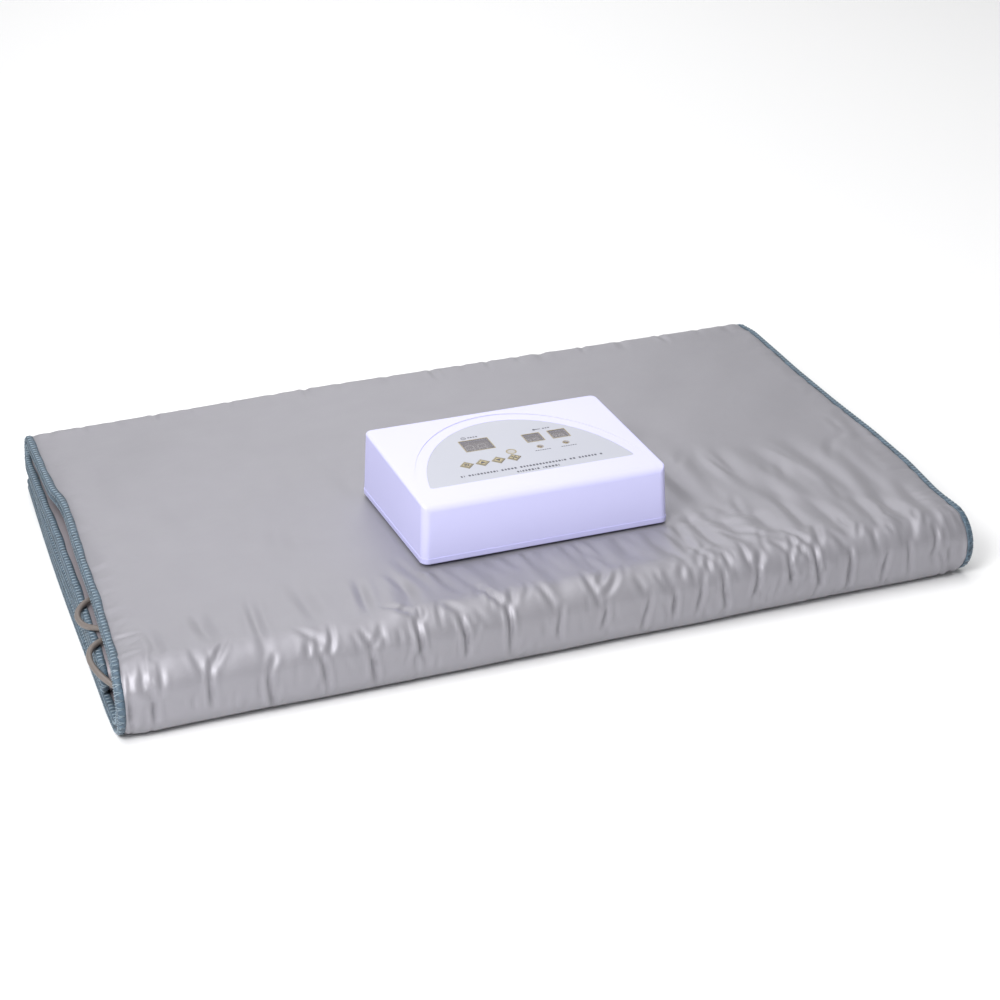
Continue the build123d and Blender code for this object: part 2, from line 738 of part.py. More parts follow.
key_bottom = switch_height - display_drop + key_travel + key_clearance
for name, place in zip(key_names, key_places):
    with BuildPart() as key:
        with BuildSketch(panel.offset(-case_wall - key_clearance)):
            with Locations(place):
                Rectangle(key_side, key_side, rotation=45)
        extrude(amount=case_wall + key_clearance + key_rise)
        chamfer(key.faces().sort_by(Axis.Z)[-1].edges(), key_chamfer)
        with BuildSketch(panel.offset(-case_wall - key_clearance - key_flange_thickness)):
            with Locations(place):
                Circle(key_flange / 2)
        extrude(amount=key_flange_thickness)
        with BuildSketch(panel.offset(key_bottom)):
            with Locations(place):
                Circle(key_stem / 2)
        extrude(amount=-case_wall - key_clearance - key_bottom)
    keep(key, name)

# ---------------------------------------------------------------- display board

display_top = panel.offset(-display_drop)
with BuildPart() as display_board:
    with BuildSketch(display_top):
        with Locations(display_board_at):
            Rectangle(*display_board_size)
        with Locations(*display_holes):
            Circle(screw_clear / 2, mode=Mode.SUBTRACT)
    extrude(amount=-board_thickness)
keep(display_board, "display_board")

for name, places, size in (("time_display", (time_window_at,), time_window_size),
                           ("zone_displays", zone_window_at, zone_window_size)):
    with BuildPart() as display:
        with BuildSketch(display_top):
            with Locations(*places):
                Rectangle(*[side - window_rim for side in size])
        extrude(amount=display_height)
    keep(display, name)

with BuildPart() as tact_switches:
    with BuildSketch(display_top):
        with Locations(*key_places):
            RectangleRounded(switch_size, switch_size, slack)
    extrude(amount=switch_body_height)
    with BuildSketch(display_top.offset(switch_body_height)):
        with Locations(*key_places):
            Circle(switch_button / 2)
    extrude(amount=switch_height - switch_body_height)
keep(tact_switches, "tact_switches")

with BuildPart() as infrared_receiver:
    with BuildSketch(display_top):
        with Locations(ir_at):
            Rectangle(*receiver_size[:2])
    extrude(amount=receiver_size[2])
    with BuildSketch(display_top.offset(receiver_size[2])):
        with Locations(ir_at):
            Circle(receiver_size[1] / 2 - slack)
    extrude(amount=receiver_lens)
    fillet(infrared_receiver.edges().filter_by(GeomType.CIRCLE).sort_by(Axis.Z)[-1], receiver_lens / 2)
keep(infrared_receiver, "infrared_receiver")

# ---------------------------------------------------------------- main board

board_plane = case_plane.offset(main_board_z)
board_top = case_plane.offset(main_board_z + board_thickness)
with BuildPart() as main_board:
    with BuildSketch(board_plane):
        with Locations((0, main_board_y)):
            Rectangle(*main_board_size)
        with Locations(*main_holes):
            Circle(screw_clear / 2, mode=Mode.SUBTRACT)
    extrude(amount=board_thickness)
keep(main_board, "main_board")

# Laminated core with a window on each side of its middle limb, and the bobbin round that limb.
with BuildPart() as transformer_core:
    with BuildSketch(board_top):
        with Locations(transformer_at):
            Rectangle(*core_size[:2])
    extrude(amount=core_size[2])
    core_front = Plane((case_x + transformer_at[0], case_y + transformer_at[1] + core_size[1] / 2,
                        board_top.origin.Z + core_size[2] / 2), x_dir=(1, 0, 0), z_dir=(0, -1, 0))
    with BuildSketch(core_front):
        with Locations((core_window_x, 0), (-core_window_x, 0)):
            Rectangle(*core_window)
    extrude(amount=core_size[1], mode=Mode.SUBTRACT)
keep(transformer_core, "transformer_core")

limb = 2 * core_window_x - core_window[0]
with BuildPart() as transformer_coil:
    coil_height = core_window[1] - 2 * slack
    with BuildSketch(Plane((case_x + transformer_at[0], case_y + transformer_at[1],
                            core_front.origin.Z - coil_height / 2))):
        RectangleRounded(2 * (core_window_x + core_window[0] / 2 - slack), core_size[1] + coil_overhang,
                         coil_corner)
        Rectangle(limb + 2 * slack, core_size[1] + 2 * slack, mode=Mode.SUBTRACT)
    extrude(amount=coil_height)
keep(transformer_coil, "transformer_coil")

with BuildPart() as zone_relays:
    with BuildSketch(board_top):
        with Locations(*relay_at):
            Rectangle(*relay_size[:2])
    extrude(amount=relay_size[2])
    fillet(zone_relays.edges().filter_by(Axis.Z), relay_corner)
keep(zone_relays, "zone_relays")

with BuildPart() as filter_capacitors:
    with BuildSketch(board_top):
        with Locations(*capacitor_at):
            Circle(capacitor_size[0] / 2)
    extrude(amount=capacitor_size[1])
    fillet(filter_capacitors.edges().filter_by(GeomType.CIRCLE).group_by(Axis.Z)[-1], capacitor_round)
keep(filter_capacitors, "filter_capacitors")

with BuildPart() as control_chip:
    with BuildSketch(board_top):
        with Locations(chip_at):
            Rectangle(*chip_size[:2])
    extrude(amount=chip_size[2])
    chamfer(control_chip.faces().sort_by(Axis.Z)[-1].edges(), chip_chamfer)
keep(control_chip, "control_chip")

# Flat cable from the main board's header up to the display board's underside.
ribbon_x = case_x + ribbon_at[0]
ribbon_low = board_top.origin.Z
ribbon_top_y = case_y + ribbon_at[1]
ribbon_high = panel.offset(-display_drop - board_thickness - ribbon_thickness).from_local_coords(
    Vector(0, ribbon_at[1], 0)).Z
with BuildPart() as ribbon_cable:
    with BuildSketch(Plane((ribbon_x - ribbon_width / 2, 0, 0), x_dir=(0, 1, 0), z_dir=(1, 0, 0))):
        with BuildLine() as ribbon_line:
            FilletPolyline((ribbon_top_y, ribbon_low), (ribbon_top_y, ribbon_low + ribbon_rise),
                           (ribbon_top_y + ribbon_sway, ribbon_low + 2 * ribbon_rise),
                           (ribbon_top_y, ribbon_high), radius=ribbon_bend)
        trace(ribbon_line.wires()[0], line_width=ribbon_thickness)
    extrude(amount=ribbon_width)
keep(ribbon_cable, "ribbon_cable")

# ---------------------------------------------------------------- back wall pieces

with BuildPart() as power_inlet:
    with BuildSketch(back_wall):
        with Locations((-inlet_x, 0)):
            RectangleRounded(*inlet_flange[:2], inlet_corner)
    extrude(amount=inlet_flange[2])
    with BuildSketch(back_wall):
        with Locations((-inlet_x, 0)):
            Rectangle(*inlet_body[:2])
    extrude(amount=-inlet_body[2])
    with BuildSketch(back_wall.offset(inlet_flange[2])) as inlet_mouth:
        with Locations((-inlet_x, 0)):
            Rectangle(*inlet_cavity[:2])
        chamfer(inlet_mouth.vertices().group_by(Axis.Y)[-1], inlet_key)
    extrude(amount=-inlet_cavity[2], mode=Mode.SUBTRACT)
    with BuildSketch(back_wall.offset(inlet_flange[2] - inlet_cavity[2])):
        with Locations(*inlet_pin_places):
            Rectangle(*[size + slack for size in inlet_pin[:2]])
    extrude(amount=-inlet_body[2], mode=Mode.SUBTRACT)
keep(power_inlet, "power_inlet")

with BuildPart() as inlet_pins:
    with BuildSketch(back_wall.offset(-inlet_body[2] - inlet_tag)):
        with Locations(*inlet_pin_places):
            Rectangle(*inlet_pin[:2])
    extrude(amount=inlet_pin[2])
keep(inlet_pins, "inlet_pins")

pivot = back_wall.offset(-rocker_pivot_depth)
with BuildPart() as rocker_frame:
    with BuildSketch(back_wall):
        with Locations((-rocker_x, 0)):
            RectangleRounded(*rocker_flange[:2], inlet_corner)
    extrude(amount=rocker_flange[2])
    with BuildSketch(back_wall):
        with Locations((-rocker_x, 0)):
            Rectangle(*rocker_body[:2])
    extrude(amount=-rocker_body[2])
    rocker_side = Plane(pivot.from_local_coords(Vector(-rocker_x, 0, 0)), x_dir=back_wall.y_dir,
                        z_dir=back_wall.x_dir)
    with BuildSketch(rocker_side.offset(-rocker_cavity_width / 2)):
        Circle(rocker_radius + rocker_gap)
    extrude(amount=rocker_cavity_width, mode=Mode.SUBTRACT)
    with BuildSketch(rocker_side.offset(-rocker_pin_span / 2)):
        Circle(rocker_pin / 2 + rocker_pin_gap)
    extrude(amount=rocker_pin_span, mode=Mode.SUBTRACT)
keep(rocker_frame, "rocker_frame")

with BuildPart() as rocker:
    with BuildSketch(rocker_side.offset(-rocker_width / 2)):
        with BuildLine():
            reach = CenterArc((0, 0), rocker_radius, 90 + rocker_tilt - rocker_spread, 2 * rocker_spread)
            Line((0, 0), reach @ 0)
            Line(reach @ 1, (0, 0))
        make_face()
        Circle(rocker_hub / 2)
    extrude(amount=rocker_width)
    with BuildSketch(rocker_side.offset(-rocker_pin_span / 2 + rocker_gap)):
        Circle(rocker_pin / 2)
    extrude(amount=rocker_pin_span - 2 * rocker_gap)
keep(rocker, "rocker")

with BuildPart() as fuse_holder:
    with BuildSketch(back_wall):
        with Locations((-fuse_x, 0)):
            Circle(fuse_flange[0] / 2)
    extrude(amount=fuse_flange[1])
    with BuildSketch(back_wall):
        with Locations((-fuse_x, 0)):
            Circle(fuse_diameter / 2)
    extrude(amount=-fuse_depth)
    with BuildSketch(back_wall.offset(fuse_flange[1])):
        with Locations((-fuse_x, 0)):
            Circle(fuse_stem / 2 + rocker_pin_gap)
    extrude(amount=-fuse_bore, mode=Mode.SUBTRACT)
keep(fuse_holder, "fuse_holder")

with BuildPart() as fuse_cap:
    with BuildSketch(back_wall.offset(fuse_flange[1] + slack)):
        with Locations((-fuse_x, 0)):
            Circle(fuse_cap_size[0] / 2)
    extrude(amount=fuse_cap_size[1])
    chamfer(fuse_cap.edges().filter_by(GeomType.CIRCLE).sort_by(Axis.Y)[-1], fuse_cap_chamfer)
    with BuildSketch(back_wall.offset(fuse_flange[1] + slack)):
        with Locations((-fuse_x, 0)):
            Circle(fuse_stem / 2)
    extrude(amount=-fuse_stem_length)
    with BuildSketch(back_wall.offset(fuse_flange[1] + slack - fuse_stem_length)):
        with Locations((-fuse_x, 0)):
            Circle(fuse_size[0] / 2 + slack)
    extrude(amount=fuse_grip, mode=Mode.SUBTRACT)
    with BuildSketch(back_wall.offset(fuse_flange[1] + slack + fuse_cap_size[1])):
        with Locations((-fuse_x, 0)):
            Rectangle(fuse_cap_size[0] * fuse_slot[0], fuse_slot[1])
    extrude(amount=-fuse_slot[1], mode=Mode.SUBTRACT)
keep(fuse_cap, "fuse_cap")

with BuildPart() as fuse:
    with BuildSketch(back_wall.offset(fuse_flange[1] + slack - fuse_stem_length + fuse_grip)):
        with Locations((-fuse_x, 0)):
            Circle(fuse_size[0] / 2)
    extrude(amount=-fuse_size[1])
keep(fuse, "fuse")

for number, x in enumerate(socket_x, start=1):
    socket_plane = Plane(back_wall.from_local_coords(Vector(-x, 0, 0)), x_dir=back_wall.x_dir,
                         z_dir=back_wall.z_dir)
    with BuildPart() as output_socket:
        with BuildSketch(socket_plane):
            Circle(socket_flange[0] / 2)
        extrude(amount=socket_flange[1])
        with BuildSketch(socket_plane.offset(-socket_depth)):
            Circle(socket_diameter / 2)
        extrude(amount=socket_depth + socket_nose)
        with BuildSketch(socket_plane.offset(socket_nose)):
            Circle(socket_bore / 2)
        extrude(amount=-socket_bore_depth, mode=Mode.SUBTRACT)
        with BuildSketch(socket_plane.offset(socket_nose - socket_bore_depth)):
            with PolarLocations(socket_pin_circle, socket_pins):
                Circle(socket_pin / 2)
        extrude(amount=socket_pin_length)
    keep(output_socket, f"output_socket_{number}")

with BuildPart() as socket_nuts:
    with BuildSketch(back_wall.offset(-case_wall - socket_nut[1] - 2 * slack)):
        with Locations(*[(-x, 0) for x in socket_x]):
            RegularPolygon(socket_nut[0] / 2, 6)
            Circle(socket_diameter / 2 + slack, mode=Mode.SUBTRACT)
    extrude(amount=socket_nut[1])
keep(socket_nuts, "socket_nuts")
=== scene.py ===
"""Folded infrared sauna blanket with its control box: camera, leads, padded cloth, bindings, looks."""
import random
from math import atan2, cos, hypot, pi, radians, sin

import bpy
import numpy as np
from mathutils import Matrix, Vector


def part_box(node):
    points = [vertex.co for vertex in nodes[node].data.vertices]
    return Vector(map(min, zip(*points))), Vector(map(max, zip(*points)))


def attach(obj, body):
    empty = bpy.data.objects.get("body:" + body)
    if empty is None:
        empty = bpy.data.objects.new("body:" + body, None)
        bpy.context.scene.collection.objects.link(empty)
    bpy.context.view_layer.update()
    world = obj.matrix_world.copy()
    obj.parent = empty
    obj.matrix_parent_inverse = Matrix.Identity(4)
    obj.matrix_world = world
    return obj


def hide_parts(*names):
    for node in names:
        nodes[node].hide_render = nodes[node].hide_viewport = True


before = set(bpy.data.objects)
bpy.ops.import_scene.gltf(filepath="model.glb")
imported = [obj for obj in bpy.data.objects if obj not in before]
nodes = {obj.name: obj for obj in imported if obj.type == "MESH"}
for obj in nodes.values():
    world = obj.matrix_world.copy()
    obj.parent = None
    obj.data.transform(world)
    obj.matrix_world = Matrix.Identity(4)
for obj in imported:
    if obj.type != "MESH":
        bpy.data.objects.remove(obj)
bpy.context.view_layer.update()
MM = 0.001

# ---- camera

camera_data = bpy.data.cameras.new("camera")
camera_data.sensor_width = 36
camera_data.lens = 80.17
camera_tilt, camera_turn = 25.6, 21.84
camera = bpy.data.objects.new("camera", camera_data)
camera.location = (-0.7836, -2.0148, 1.0711)
camera.rotation_euler = (radians(90 - camera_tilt), 0, -radians(camera_turn))
bpy.context.scene.collection.objects.link(camera)
bpy.context.scene.camera = camera

# ---- shared helpers


def place_object(data, name):
    """New object for a mesh or curve, in the scene."""
    made = bpy.data.objects.new(name, data)
    bpy.context.scene.collection.objects.link(made)
    return made


def mesh_piece(name, points, faces, material, smooth=True):
    """Piece of the model from points in millimetres and faces."""
    mesh = bpy.data.meshes.new(name)
    mesh.from_pydata((np.asarray(points, float) * MM).tolist(), [], faces)
    mesh.validate()
    mesh.update()
    mesh.materials.append(material)
    if smooth:
        mesh.polygons.foreach_set("use_smooth", [True] * len(mesh.polygons))
    return place_object(mesh, name)


bands_per_unit = 3.14


class Look:
    """Node material under construction, on a Principled shader."""

    def __init__(self, name, colour, roughness, **values):
        self.material = bpy.data.materials.new(name)
        self.material.use_nodes = True
        self.tree = self.material.node_tree
        self.shader = self.tree.nodes["Principled BSDF"]
        self.shader.inputs["Base Color"].default_value = (*colour, 1)
        self.shader.inputs["Roughness"].default_value = roughness
        for socket, value in values.items():
            self.shader.inputs[socket.replace("_", " ")].default_value = value
        self.where = self.node("ShaderNodeTexCoord").outputs["Object"]
        self.bump = None

    def node(self, kind, **settings):
        made = self.tree.nodes.new(kind)
        for name, value in settings.items():
            setattr(made, name, value)
        return made

    def link(self, out, into):
        self.tree.links.new(out, into)

    def noise(self, scale, detail=3, stretch=(1, 1, 1)):
        """Noise from 0 to 1, its scale in cycles per metre."""
        mapping = self.node("ShaderNodeMapping")
        mapping.inputs["Scale"].default_value = stretch
        self.link(self.where, mapping.inputs["Vector"])
        noise = self.node("ShaderNodeTexNoise")
        noise.inputs["Scale"].default_value = scale
        noise.inputs["Detail"].default_value = detail
        self.link(mapping.outputs["Vector"], noise.inputs["Vector"])
        return noise.outputs["Fac"]

    def wave(self, scale, axis="X", distortion=0.0):
        """Bands across one axis, their scale in waves per metre."""
        wave = self.node("ShaderNodeTexWave", bands_direction=axis)
        wave.inputs["Scale"].default_value = scale / bands_per_unit
        wave.inputs["Distortion"].default_value = distortion
        self.link(self.where, wave.inputs["Vector"])
        return wave.outputs["Fac"]

    def mix(self, a, b, operation="MULTIPLY"):
        maths = self.node("ShaderNodeMath", operation=operation)
        self.link(a, maths.inputs[0])
        if isinstance(b, (int, float)):
            maths.inputs[1].default_value = b
        else:
            self.link(b, maths.inputs[1])
        return maths.outputs[0]

    def colours(self, factor, low, high, start=0.1, end=0.9):
        """Base colour between two colours, by a factor."""
        ramp = self.node("ShaderNodeValToRGB")
        for stop, place, shade in zip(ramp.color_ramp.elements, (start, end), (low, high)):
            stop.position, stop.color = place, (*shade, 1)
        self.link(factor, ramp.inputs["Fac"])
        self.link(ramp.outputs["Color"], self.shader.inputs["Base Color"])

    def roughness(self, factor, low, high):
        """Roughness between two values, by a factor."""
        spread = self.node("ShaderNodeMapRange")
        spread.inputs["To Min"].default_value = low
        spread.inputs["To Max"].default_value = high
        self.link(factor, spread.inputs["Value"])
        self.link(spread.outputs["Result"], self.shader.inputs["Roughness"])

    def height(self, factor, strength, distance):
        """Bump from a factor, on top of any bump so far."""
        bump = self.node("ShaderNodeBump")
        bump.inputs["Strength"].default_value = strength
        bump.inputs["Distance"].default_value = distance
        self.link(factor, bump.inputs["Height"])
        if self.bump:
            self.link(self.bump, bump.inputs["Normal"])
        self.bump = bump.outputs["Normal"]
        self.link(self.bump, self.shader.inputs["Normal"])


def scaled(colour, factor):
    return tuple(channel * factor for channel in colour)


# ---- materials


def cloth_look(name, colour):
    """Silver coated cloth: close weave, satin, slightly uneven."""
    look = Look(name, colour, 0.4, Specular_IOR_Level=0.9, Metallic=0.42, Sheen_Weight=0.15,
                Sheen_Roughness=0.4)
    weave = look.mix(look.wave(900, "X"), look.wave(900, "Y"), "ADD")
    look.colours(look.noise(7, 3), scaled(colour, 0.965), scaled(colour, 1.03))
    look.roughness(look.noise(26, 4), 0.47, 0.58)
    look.height(weave, 0.12, 0.00012)
    look.height(look.noise(160, 4), 0.10, 0.0004)
    look.height(look.noise(34, 5), 0.35, 0.0014)
    return look.material


def tape_look(name, colour):
    """Ribbed binding tape."""
    look = Look(name, colour, 0.5, Sheen_Weight=0.05)
    ribs = look.mix(look.wave(700, "Y"), look.wave(700, "Z"), "ADD")
    look.colours(look.noise(190, 4), scaled(colour, 0.45), scaled(colour, 1.5), 0.25, 0.75)
    look.roughness(look.noise(90, 2), 0.42, 0.6)
    look.height(ribs, 0.5, 0.0004)
    look.height(look.noise(170, 3), 0.5, 0.0012)
    return look.material


def moulded_look(name, colour, low=0.28, high=0.4, grain=0.05):
    """Moulded plastic with a fine grain and faint handling marks."""
    look = Look(name, colour, low)
    look.colours(look.noise(6, 1), scaled(colour, 0.985), scaled(colour, 1.01))
    look.roughness(look.noise(9, 1), low, high)
    look.height(look.noise(300, 1), grain, 0.00003)
    return look.material


def metal_look(name, colour, low=0.18, high=0.34):
    """Plated or turned metal."""
    look = Look(name, colour, low, Metallic=1.0)
    look.roughness(look.noise(220, 3, (1, 1, 6)), low, high)
    look.height(look.noise(900, 2), 0.06, 0.00005)
    look.colours(look.noise(30, 2), scaled(colour, 0.94), colour)
    return look.material


cloth_silver = cloth_look("cover_cloth", (0.288, 0.281, 0.311))
cloth_inner = cloth_look("lining_cloth", (0.24, 0.215, 0.235))
tape_blue = tape_look("binding_tape", (0.062, 0.100, 0.139))
thread_white = moulded_look("stitch_thread", (0.28, 0.35, 0.405), 0.5, 0.7)
lead_grey = moulded_look("lead_sheath", (0.15, 0.128, 0.117), 0.38, 0.5)

# ---- heater leads

lead_diameter = 6
gap_z = 52.3
hollow_y = -255
hollow_z = 36
fold_radius = 18
fold_y = hollow_y - fold_radius
hank_length = 110
hank_half_width = 21
lead_routes = (
    ((-405, -96, gap_z), (-428, -94, gap_z), (-449, -101, gap_z - 0.5), (-462, -118, gap_z - 3),
     (-462, -141, gap_z - 4), (-450, -160, gap_z - 0.8), (-428, -169, gap_z), (-400, -166, gap_z),
     (-356, -158, gap_z), (-296, -158, gap_z), (-240, -176, gap_z), (-202, -205, gap_z),
     (-180, -230, gap_z - 1), (-158, -254, gap_z - 10), (-132, fold_y, hollow_z - 6),
     (-106, fold_y, hollow_z - 6)),
    ((-405, -188, gap_z), (-429, -181, gap_z), (-452, -182, gap_z - 0.5), (-467, -196, gap_z - 2),
     (-470, -218, gap_z - 4), (-463, -241, gap_z - 9), (-447, -260, gap_z - 17),
     (-422, fold_y, hollow_z - 9), (-397, fold_y, hollow_z - 9)),
)
hank_turns = (2, 3)
tail_steps = ((4, -1, 1), (20, -0.8, 0.8), (35, -0.2, 0.2), (49, 0, 0), (58, 0, 0))
fold_angle = 30
fold_reach = fold_radius / cos(radians(fold_angle / 2))
fold_lead_in = 10


def hank_points(end, turns):
    """Control points of the wound turns: two runs and two folds a turn, climbing one diameter."""
    left, right = end[0] + hank_half_width, end[0] + hank_length - hank_half_width
    outline = []
    for middle, first, side in ((right, -90, 1), (left, 90, -1)):
        outline.append((middle - side * fold_lead_in, hollow_y - side * fold_radius))
        for step in range(180 // fold_angle + 1):
            angle = radians(first + step * fold_angle)
            outline.append((middle + fold_reach * cos(angle), hollow_y + fold_reach * sin(angle)))
        outline.append((middle - side * fold_lead_in, hollow_y + side * fold_radius))
    points = []
    count = turns * len(outline)
    for index in range(count):
        x, y = outline[index % len(outline)]
        points.append((x, y, end[2] + lead_diameter * turns * index / count))
    return points


def lead_curve(number, route, turns):
    """Free lead: its route, the turns of its hank, and the tail to its plug, as one spline."""
    end = route[-1]
    rise = lead_diameter * turns / 2
    tail = [(end[0] + hank_length + x, hollow_y + share * fold_radius, hollow_z + lift * rise)
            for x, share, lift in ((-hank_half_width - fold_lead_in, -1, 1),) + tail_steps]
    points = list(route) + hank_points(end, turns) + tail
    data = bpy.data.curves.new(f"heater_lead_{number}", "CURVE")
    data.dimensions = "3D"
    data.bevel_depth = lead_diameter / 2 * MM
    data.bevel_resolution = 4
    data.resolution_u = 6
    spline = data.splines.new("NURBS")
    spline.points.add(len(points) - 1)
    for point, place in zip(spline.points, points):
        point.co = (*[value * MM for value in place], 1)
    spline.order_u = 3
    spline.use_endpoint_u = True
    data.materials.append(lead_grey)
    return place_object(data, f"heater_lead_{number}")


tie_section = ((-5, 0), (-4.6, 0.9), (4.6, 0.9), (5, 0))


def hank_tie(number, end, turns):
    """Strap round the middle of a hank."""
    half_high = lead_diameter * (turns + 1) / 2 + 0.6
    half_wide = hank_half_width + 0.6
    corner = 3.5
    ring = []
    for y_side, z_side, first in ((1, 1, 0), (-1, 1, 90), (-1, -1, 180), (1, -1, 270)):
        for step in range(5):
            angle = radians(first + step * 22.5)
            ring.append((y_side * (half_wide - corner) + corner * cos(angle),
                         z_side * (half_high - corner) + corner * sin(angle)))
    middle = end[0] + hank_length / 2
    points, count = [], len(ring)
    for x, grow in tie_section:
        points += [(middle + x, hollow_y + y * (1 + grow / half_wide), hollow_z + z * (1 + grow / half_high))
                   for y, z in ring]
    faces = []
    for row in range(len(tie_section)):
        here, after = row * count, (row + 1) % len(tie_section) * count
        for k in range(count):
            n = (k + 1) % count
            faces.append((here + k, here + n, after + n, after + k))
    return mesh_piece(f"hank_tie_{number}", points, faces, tape_blue)


for number, (route, turns) in enumerate(zip(lead_routes, hank_turns), start=1):
    lead = lead_curve(number, route, turns)
    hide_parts(f"lead_cable_{number}", f"lead_hank_{number}")
    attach(lead, "blanket")
    tie = hank_tie(number, route[-1], turns)
    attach(tie, "blanket")

# ---- folded blanket: its shape

lean = radians(3.2)
half_width = 447
pad_offset = 4.0
half_pad = 3.8
half_tongue = 1.5
tape_width = 7.4
roll_y = -263.1
# Middle surface of the fold, from the free end of the lowest layer.
# A run has its start, its end, its height and its outward side; a turn has its middle, its radius,
# its first and last angle and its outward side.
fold_runs = (
    ("run", 285, roll_y, 7.8, -1),
    ("turn", (roll_y, 35.9), 28.1, -90, -270, 1),
    ("run", roll_y, 279.5, 64.0, 1),
    ("turn", (279.5, 52.3), 11.7, 90, -90, 1),
    ("run", 279.5, -215, 40.6, -1),
    ("turn", (-215, 32.4), 8.2, 90, 270, -1),
    ("run", -215, 279, 24.2, 1),
)


def run_length(run):
    if run[0] == "run":
        return abs(run[2] - run[1])
    return radians(abs(run[4] - run[3])) * run[2]


fold_lengths = [run_length(run) for run in fold_runs]
fold_starts = np.concatenate([[0], np.cumsum(fold_lengths)])
fold_length = float(fold_starts[-1])
roll_start, top_start, back_start, third_start, crease_start, second_start = fold_starts[1:7]
roll_mid = (roll_start + top_start) / 2


def fold_point(t):
    """y, z and the outward normal of the fold's middle surface, at distances t along it."""
    t = np.clip(t, 0, fold_length)
    y, z, ny, nz = (np.zeros_like(t, float) for _ in range(4))
    for start, length, run in zip(fold_starts, fold_lengths, fold_runs):
        here = (t >= start - 1e-9) & (t <= start + length + 1e-9)
        share = (t[here] - start) / length
        if run[0] == "run":
            y[here] = run[1] + share * (run[2] - run[1])
            z[here] = run[3]
            ny[here], nz[here] = 0, run[4]
        else:
            angle = np.radians(run[3] + share * (run[4] - run[3]))
            y[here] = run[1][0] + run[2] * np.cos(angle)
            z[here] = run[1][1] + run[2] * np.sin(angle)
            ny[here], nz[here] = run[5] * np.cos(angle), run[5] * np.sin(angle)
    return y, z, ny, nz


def smooth(value):
    value = np.clip(value, 0, 1)
    return value * value * (3 - 2 * value)


def hill(value, middle, width):
    return np.exp(-(((value - middle) / width) ** 2))


# How far the top layer's side edges stand off their straight lines: y, and the shift towards +X.
left_edge = ((-287, 0), (-238, 4), (-131, 7), (-13, 8), (72, 10.5), (104, 8.5), (128, 3.5), (200, 2),
             (285, 0))
right_edge = ((-266, -2), (-226, -4), (-148, 3), (-62, 4.5), (30, 2), (128, 2), (200, 4), (285, 6))


def eased(y, table):
    """Smooth line through a few measured places."""
    reach = np.array([-10.0, 0.0, 10.0])
    return np.mean([np.interp(y + step, *zip(*table)) for step in reach], axis=0)


def side_shift(t, y):
    """How far each side edge wanders from its straight line, in millimetres towards +X."""
    on_top = smooth((t - roll_mid) / 50) * smooth((back_start + 10 - t) / 40)
    below = 1 - smooth((t - roll_start + 40) / 80) * smooth((back_start + 60 - t) / 60)
    left = on_top * eased(y, left_edge) - below * (3.5 + 1.5 * np.sin(y / 80 + t / 300))
    right = on_top * eased(y, right_edge) + below * 1.2 * np.sin(y / 60 + t / 200)
    return left, right


# How far in from a side edge its shift is felt, and how much lower the back left corner lies.
edge_reach = 130
corner_sag = 0.085


def blanket_point(u, t, d):
    """Point of the folded blanket: u across it, t along the fold, d out from the middle surface."""
    u, t, d = np.broadcast_arrays(np.asarray(u, float), np.asarray(t, float), np.asarray(d, float))
    y, z, ny, nz = fold_point(t)
    y, z = y + d * ny, z + d * nz
    left, right = side_shift(t, y)
    inner = half_width - edge_reach
    x = u + left * smooth((-u - inner) / edge_reach) + right * smooth((u - inner) / edge_reach)
    corner = smooth((-u - 60) / 380) * smooth((y - 60) / 220)
    z = z * (1 - corner_sag * corner)
    return np.stack([x + y * sin(lean), y * cos(lean), z], axis=-1)


def pad_half_thickness(u, t, crown_reach=20):
    """Half the padding's thickness: thin and flat inside the binding, then crowned."""
    edge = np.minimum(half_width - np.abs(u), np.minimum(t, fold_length - t)) - tape_width
    rise = np.clip(edge / crown_reach, 0, 1)
    return half_tongue + (half_pad - half_tongue) * np.sqrt(1 - (1 - rise) ** 2)


# ---- folded blanket: its creases

chance = random.Random(7)
pick = chance.uniform
box_width = 265
box_middle = (-2.5, -102)
crease_list = []
lip_place, high_lip, low_lip = 1.9, 0.55, 0.4
fork_share = 0.7


def layer_y(t):
    """Y of the top layer at a distance along the fold."""
    return t - top_start + roll_y


def at_top(y):
    """Distance along the fold of a place on the top layer."""
    return y + top_start - roll_y


def crease(u, t, place, heading, reach, width, depth, bend, sharp):
    """One crease: a valley with a raised lip on each side, fading at both ends."""
    du, dt = u - place[0], t - place[1]
    along = (du * cos(heading) + dt * sin(heading)) / reach
    across = (-du * sin(heading) + dt * cos(heading) + 0.4 * bend * reach * along ** 2) / width
    fade = np.clip(1 - along ** 2, 0, 1) ** 1.3
    lips = high_lip * hill(across, lip_place, 1) + low_lip * hill(across, -lip_place, 1)
    return depth * fade * (lips - np.exp(-np.abs(across) ** sharp))


def creases(u, t):
    """Height of the listed creases of the outer cloth."""
    total = np.zeros(np.broadcast(u, t).shape)
    for place, heading, reach, width, depth, bend, sharp in crease_list:
        near = (np.abs(t - place[1]) < reach + 4 * width) & (np.abs(u - place[0]) < reach + 4 * width)
        total[near] += crease(u[near], t[near], place, heading, reach, width, depth, bend, sharp)
    return total


def add_crease(u, t, heading, *shape):
    """One more crease: its middle, heading in degrees, then reach, width, depth, bend and sharpness."""
    crease_list.append(((u, t), radians(heading), *shape))


def scatter(count, u, t, heading, spread, reach, width, depth, bend, sharp):
    """Creases strewn over a field of the top layer, each measure between two limits."""
    for _ in range(count):
        add_crease(pick(*u), top_start + pick(*t), heading + pick(*spread), pick(*reach), pick(*width),
                   pick(*depth), pick(-bend, bend), sharp)


